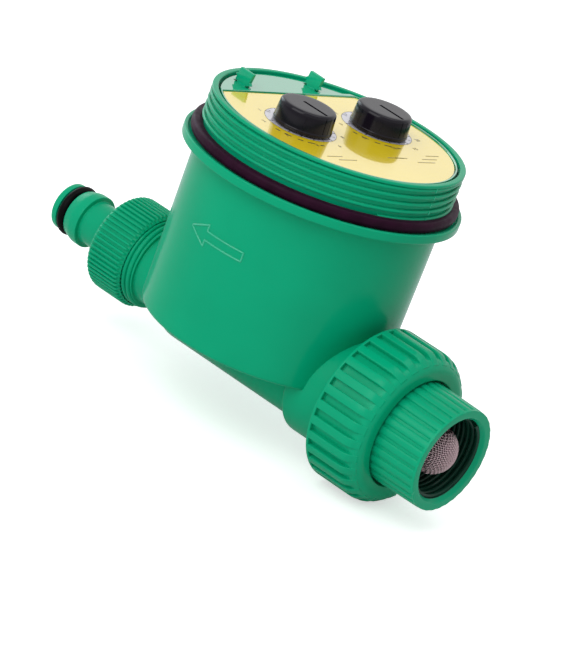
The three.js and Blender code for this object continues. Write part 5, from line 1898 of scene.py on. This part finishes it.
@dataclass
class Knob:
    """One dial knob with its pointer groove."""

    side: str
    place: Vector
    foot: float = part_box("left_knob")[0].z / MM
    height: float = (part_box("left_knob")[1].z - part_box("left_knob")[0].z) / MM
    base_radius: float = 9.15
    top_radius: float = 8.6
    wall: float = 1.6
    skirt: float = 4.0
    socket: float = 3.3
    socket_depth: float = 5.1
    pointer_degrees: float = 4.0
    pointer_width: float = 1.15
    pointer_depth: float = 0.6
    pointer_start: float = -2.4
    pointer_end: float = 7.4
    index_degrees: float = -51.0
    index_sunk: float = 0.3
    index_proud: float = 0.16
    index_taper: float = 0.7
    line_depth: float = 0.14
    line_half: float = 0.12
    line_gaps: Point = (0.4, 0.6)
    line_foot: float = 1.2

    def bar(self, x: Point, y: Point, z: Point) -> Object:
        """A box along the pointer.

        Args:
            x: its limits outwards from the knob's axis.
            y: its limits across the pointer.
            z: its limits above the knob's foot.

        Returns:
            The box.
        """
        spin = Matrix.Rotation(PANEL_TURN + math.radians(self.pointer_degrees), 4, "Z")
        shift = Matrix.Translation(Vector((self.place.x, self.place.y, self.foot)) * MM)
        return block(shift @ spin, x, y, z)

    def index(self) -> Object:
        """The small raised mark on the knob's side: narrow at its top, wider at its foot.

        Returns:
            The mark.
        """
        spin = Matrix.Rotation(math.radians(self.index_degrees), 4, "Z")
        shift = Matrix.Translation(Vector((self.place.x, self.place.y, self.foot)) * MM)
        shape = ((1.55, 0.42), (2.0, 0.46), (self.height - 1.9, 0.12), (self.height - 1.6, 0.06))
        rows = []
        for z, half in shape:
            wall = self.base_radius + (self.top_radius - self.base_radius) * z / self.height
            back, front = wall - self.index_sunk, wall + self.index_proud
            section = ((back, -half), (front, -half * self.index_taper),
                       (front, half * self.index_taper), (back, half))
            rows.append([shift @ spin @ (Vector((x, y, z)) * MM) for x, y in section])
        return skinned("index", rows)

    def build(self) -> None:
        centre = (self.place.x - BUCKET_X, self.place.y)
        z, top = self.foot, self.foot + self.height - 0.002
        body = turned("knob", [
            (z + self.socket_depth, 0, 0), (z + self.socket_depth, self.socket, 0),
            (z, self.socket, 0.2), (z, self.socket + self.wall, 0.2),
            (z + self.skirt, self.socket + self.wall, 0.2),
            (z + self.skirt, self.top_radius - self.wall, 0.2),
            (z, self.base_radius - self.wall, 0.2), (z, self.base_radius, 0.25),
            (z + 0.9, self.base_radius, 0.2), (z + 1.1, self.base_radius - 0.12, 0.15),
            (top, self.top_radius, 1.1), (top, 0, 0),
        ], Axis.BUCKET, closed=False, segments=128, centre=centre, longest=1.5)
        half = self.pointer_width / 2
        groove = self.bar((self.pointer_start, self.pointer_end), (-half, half),
                          (self.height - self.pointer_depth, self.height + 1))
        before, after = self.line_gaps
        side_cuts = [self.bar((self.top_radius - self.line_depth, self.base_radius + 1),
                              (offset - self.line_half, offset + self.line_half),
                              (self.line_foot, self.height + 1))
                     for offset in (-half - before, half + after)]
        combined(body, [groove, *side_cuts], Way.CUT)
        body = gathered(f"{self.side}_dial_knob", [body, self.index()])
        coated(smoothed(body, 30), KNOB_BLACK)
        settled(body, f"{self.side}_knob", [f"{self.side}_knob"])


@dataclass
class Latch:
    """One sprung latch: a slanted finger tab with a leg and a hook below the cover."""

    side: str
    sign: int
    spot: float = 15.0
    thickness: float = 1.2
    width: float = 5.8
    leg_foot: float = 60.5
    cover_top: float = top_of("battery_cover")
    rise: float = 4.6
    foot_rise: float = 0.3
    foot_reach: float = 1.9
    hook: float = 0.7
    lean: float = 0.17
    rounding: float = 0.16
    fin: float = 0.85
    fin_share: float = 0.8
    fin_rounding: float = 0.06
    fin_heights: Point = (1.5, 0.5)

    def leaned(self, x: float, y: float, z: float) -> Vector:
        """A point of the latch, slanted above the cover."""
        shift = self.lean * max(0.0, z - self.cover_top)
        return Vector((x + shift, self.sign * y, z))

    def blade(self, x: float, outline: Sequence[Point], reach: float) -> Object:
        """A blade of the latch, in the panel's own axes.

        Args:
            x: its middle along the panel's X axis.
            outline: its corners across and up.
            reach: how far it reaches to either side of x.

        Returns:
            The blade.
        """
        rows = [[PANEL_PLACE @ (self.leaned(x + side, self.spot + y, z) * MM) for y, z in outline]
                for side in (-reach, reach)]
        return bevelled(skinned("blade", rows), self.rounding, 2)

    def build(self) -> None:
        at = PANEL_PLACE.inverted() @ (middle(f"{self.side}_latch") * MM) / MM
        half, reach = self.thickness / 2, self.width / 2
        top, step = self.cover_top + self.rise, self.cover_top + self.foot_rise
        foot = self.leg_foot
        tab = [(-half, top), (half, top), (half, step), (-half, step)]
        leg = [(half - 0.05, step + 0.3), (half - 0.05, foot), (-half, foot),
               (-half - self.hook, foot + 1.4), (-half, foot + 1.7), (-half + 0.05, step + 0.3)]
        parts = [self.blade(at.x, tab, reach), self.blade(at.x, leg, self.foot_reach)]
        for way, height in zip((-1, 1), self.fin_heights):
            z0 = self.cover_top + height
            edge = at.x + way * (reach - 0.3)
            tip = at.x + way * (reach + self.fin)
            wedge = [(edge, z0), (tip, z0 + 0.35), (edge, z0 + 1.5)]
            rows = [[PANEL_PLACE @ (self.leaned(x, self.spot + y, z) * MM) for x, z in wedge]
                    for y in (-half * self.fin_share, half * self.fin_share)]
            parts.append(bevelled(skinned("fin", rows), self.fin_rounding, 1))
        tab = coated(smoothed(gathered(f"{self.side}_latch_tab", parts), 40), LATCH_GREEN)
        settled(tab, f"{self.side}_latch", [f"{self.side}_latch"])


@dataclass
class Cells:
    """The two upright cells under the battery cover."""

    radius: float = 5.25
    length: float = 43.5
    nub: float = 1.9
    nub_height: float = 1.0

    def build(self) -> None:
        for name, upright in (("cell_1", True), ("cell_2", False)):
            low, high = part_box(name)
            centre = (middle(name).x - BUCKET_X, middle(name).y)
            z0, z1 = low.z / MM, high.z / MM
            foot, direction = (z0, 1) if upright else (z1, -1)
            jacket = turned("jacket", [
                (foot + direction * 0.5, 0, 0), (foot + direction * 0.5, self.radius - 0.5, 0.1),
                (foot, self.radius - 0.5, 0.1), (foot, self.radius, 0.4),
                (foot + direction * self.length, self.radius, 0.5),
                (foot + direction * self.length, self.radius - 0.9, 0.1),
                (foot + direction * (self.length - 0.4), self.radius - 0.9, 0.1),
                (foot + direction * (self.length - 0.4), 0, 0),
            ], Axis.BUCKET, closed=False, segments=72, centre=centre)
            nub_base = foot + direction * (self.length - 0.7)
            nub_top = foot + direction * (self.length + self.nub_height)
            cap = turned("cap", [(nub_base, 0, 0), (nub_base, self.nub, 0), (nub_top, self.nub, 0.4),
                                 (nub_top, 0, 0)], Axis.BUCKET, closed=False, segments=40,
                         centre=centre)
            cell = gathered(f"dry_{name}", [coated(jacket, CELL_JACKET), coated(cap, STEEL)])
            settled(smoothed(cell), "housing", [name])


# ---------------------------------------------------------------- studio


def towards(azimuth: float, elevation: float) -> Vector:
    """The way from the timer to a camera or a lamp.

    Args:
        azimuth: degrees from the front, rising towards the tap.
        elevation: degrees above level.

    Returns:
        A unit vector.
    """
    a, e = math.radians(azimuth), math.radians(elevation)
    return Vector((math.sin(a) * math.cos(e), -math.cos(a) * math.cos(e), math.sin(e)))


@dataclass
class Lamp:
    """A soft rectangular lamp that looks at the timer."""

    name: str
    azimuth: float
    elevation: float
    distance: float
    size: float
    watts: float
    colour: Colour = (1.0, 1.0, 1.0)

    def build(self, target: Vector) -> None:
        """Places the lamp.

        Args:
            target: the point it looks at, in metres.
        """
        back = towards(self.azimuth, self.elevation)
        light = bpy.data.lights.new(self.name, "AREA")
        light.shape = "SQUARE"
        light.size = self.size
        light.energy = self.watts
        light.color = self.colour
        lamp = linked(self.name, light)
        lamp.location = target + back * self.distance
        lamp.rotation_mode = "QUATERNION"
        lamp.rotation_quaternion = (-back).to_track_quat("-Z", "Y")


@dataclass
class Studio:
    """White studio: pale floor, soft lamps, camera and plain view settings."""

    azimuth: float = 33.77
    elevation: float = 19.63
    roll: float = 20.92
    distance: float = 1175.13
    lens: float = 205.45
    sensor: float = 36.0
    clip: Point = (0.05, 50.0)
    target: tuple[float, float, float] = (-90.3, 31.43, -7.51)
    floor_half: float = 4.0
    floor_gap: float = 0.0002
    ambient: float = 0.54
    floor_glow: float = 0.56
    floor_colour: Colour = (0.86, 0.87, 0.87)

    def camera(self) -> None:
        """Makes the camera and sets it as the scene's."""
        r = math.radians(self.roll)
        back = towards(self.azimuth, self.elevation)
        right = (-back).cross(Vector((0, 0, 1))).normalized()
        up = right.cross(-back)
        across = right * math.cos(r) + up * math.sin(r)
        upright = up * math.cos(r) - right * math.sin(r)
        turn = Matrix((across, upright, back)).transposed().to_4x4()
        data = bpy.data.cameras.new("camera")
        data.lens = self.lens
        data.sensor_width = self.sensor
        data.clip_start, data.clip_end = self.clip
        view = linked("camera", data)
        place = Vector(self.target) * MM + back * self.distance * MM
        view.matrix_world = Matrix.Translation(place) @ turn
        bpy.context.scene.camera = view

    def floor(self) -> None:
        """Lays the pale floor just under the lowest point."""
        half, height = self.floor_half, CAD_BOX[0].z - self.floor_gap
        spots = [(-half, -half, height), (half, -half, height), (half, half, height),
                 (-half, half, height)]
        ground = mesh_object("studio_floor", spots, [(0, 1, 2, 3)])
        material = bpy.data.materials.new("floor")
        material.use_nodes = True
        tree = material.node_tree
        tree.nodes.clear()
        diffuse = tree.nodes.new("ShaderNodeBsdfDiffuse")
        diffuse.inputs["Color"].default_value = (*self.floor_colour, 1)
        glow = tree.nodes.new("ShaderNodeEmission")
        rays = tree.nodes.new("ShaderNodeLightPath")
        strength = tree.nodes.new("ShaderNodeMath")
        strength.operation = "MULTIPLY"
        strength.inputs[1].default_value = self.floor_glow
        both = tree.nodes.new("ShaderNodeAddShader")
        end = tree.nodes.new("ShaderNodeOutputMaterial")
        tree.links.new(rays.outputs["Is Camera Ray"], strength.inputs[0])
        tree.links.new(strength.outputs[0], glow.inputs["Strength"])
        tree.links.new(diffuse.outputs[0], both.inputs[0])
        tree.links.new(glow.outputs[0], both.inputs[1])
        tree.links.new(both.outputs[0], end.inputs["Surface"])
        coated(ground, material)

    def world(self) -> None:
        """White to the camera and in reflections, dimmer as light on the timer."""
        world = bpy.data.worlds.new("studio")
        world.use_nodes = True
        tree = world.node_tree
        tree.nodes.clear()
        rays = tree.nodes.new("ShaderNodeLightPath")
        soft, white = (tree.nodes.new("ShaderNodeBackground") for _ in range(2))
        for background, strength in ((soft, self.ambient), (white, 1.0)):
            background.inputs["Color"].default_value = (1, 1, 1, 1)
            background.inputs["Strength"].default_value = strength
        seen = rays.outputs["Is Camera Ray"]
        for ray in ("Is Glossy Ray", "Is Transmission Ray"):
            larger = tree.nodes.new("ShaderNodeMath")
            larger.operation = "MAXIMUM"
            tree.links.new(seen, larger.inputs[0])
            tree.links.new(rays.outputs[ray], larger.inputs[1])
            seen = larger.outputs[0]
        mix = tree.nodes.new("ShaderNodeMixShader")
        end = tree.nodes.new("ShaderNodeOutputWorld")
        tree.links.new(seen, mix.inputs[0])
        tree.links.new(soft.outputs[0], mix.inputs[1])
        tree.links.new(white.outputs[0], mix.inputs[2])
        tree.links.new(mix.outputs[0], end.inputs["Surface"])
        bpy.context.scene.world = world

    def build(self) -> None:
        """Builds the camera, floor, world and lamps."""
        self.camera()
        self.floor()
        self.world()
        centre = (CAD_BOX[0] + CAD_BOX[1]) / 2
        for lamp in (
            Lamp("key", azimuth=-4, elevation=36, distance=0.9, size=0.75, watts=4.4),
            Lamp("top", azimuth=120, elevation=78, distance=0.9, size=0.6, watts=1.6),
            Lamp("rim", azimuth=-105, elevation=18, distance=0.9, size=0.5, watts=1.5,
                 colour=(0.75, 0.93, 1.0)),
        ):
            lamp.build(centre)
        bpy.context.scene.view_settings.view_transform = "Standard"


# ---------------------------------------------------------------- assembly


def main() -> None:
    """Builds the studio and every sub-assembly in order."""
    logging.basicConfig(level=logging.INFO, format="%(name)s %(message)s")
    Studio().build()
    dress_carried_nodes()
    for assembly in (Housing(), UnionNut(), TapAdapter(), Strainer(), OutletNut(), Nozzle(), Panel(),
                     Knob("left", LEFT_DIAL), Knob("right", RIGHT_DIAL), Latch("left", -1),
                     Latch("right", 1), Cells()):
        assembly.build()


if __name__ == "__main__":
    main()
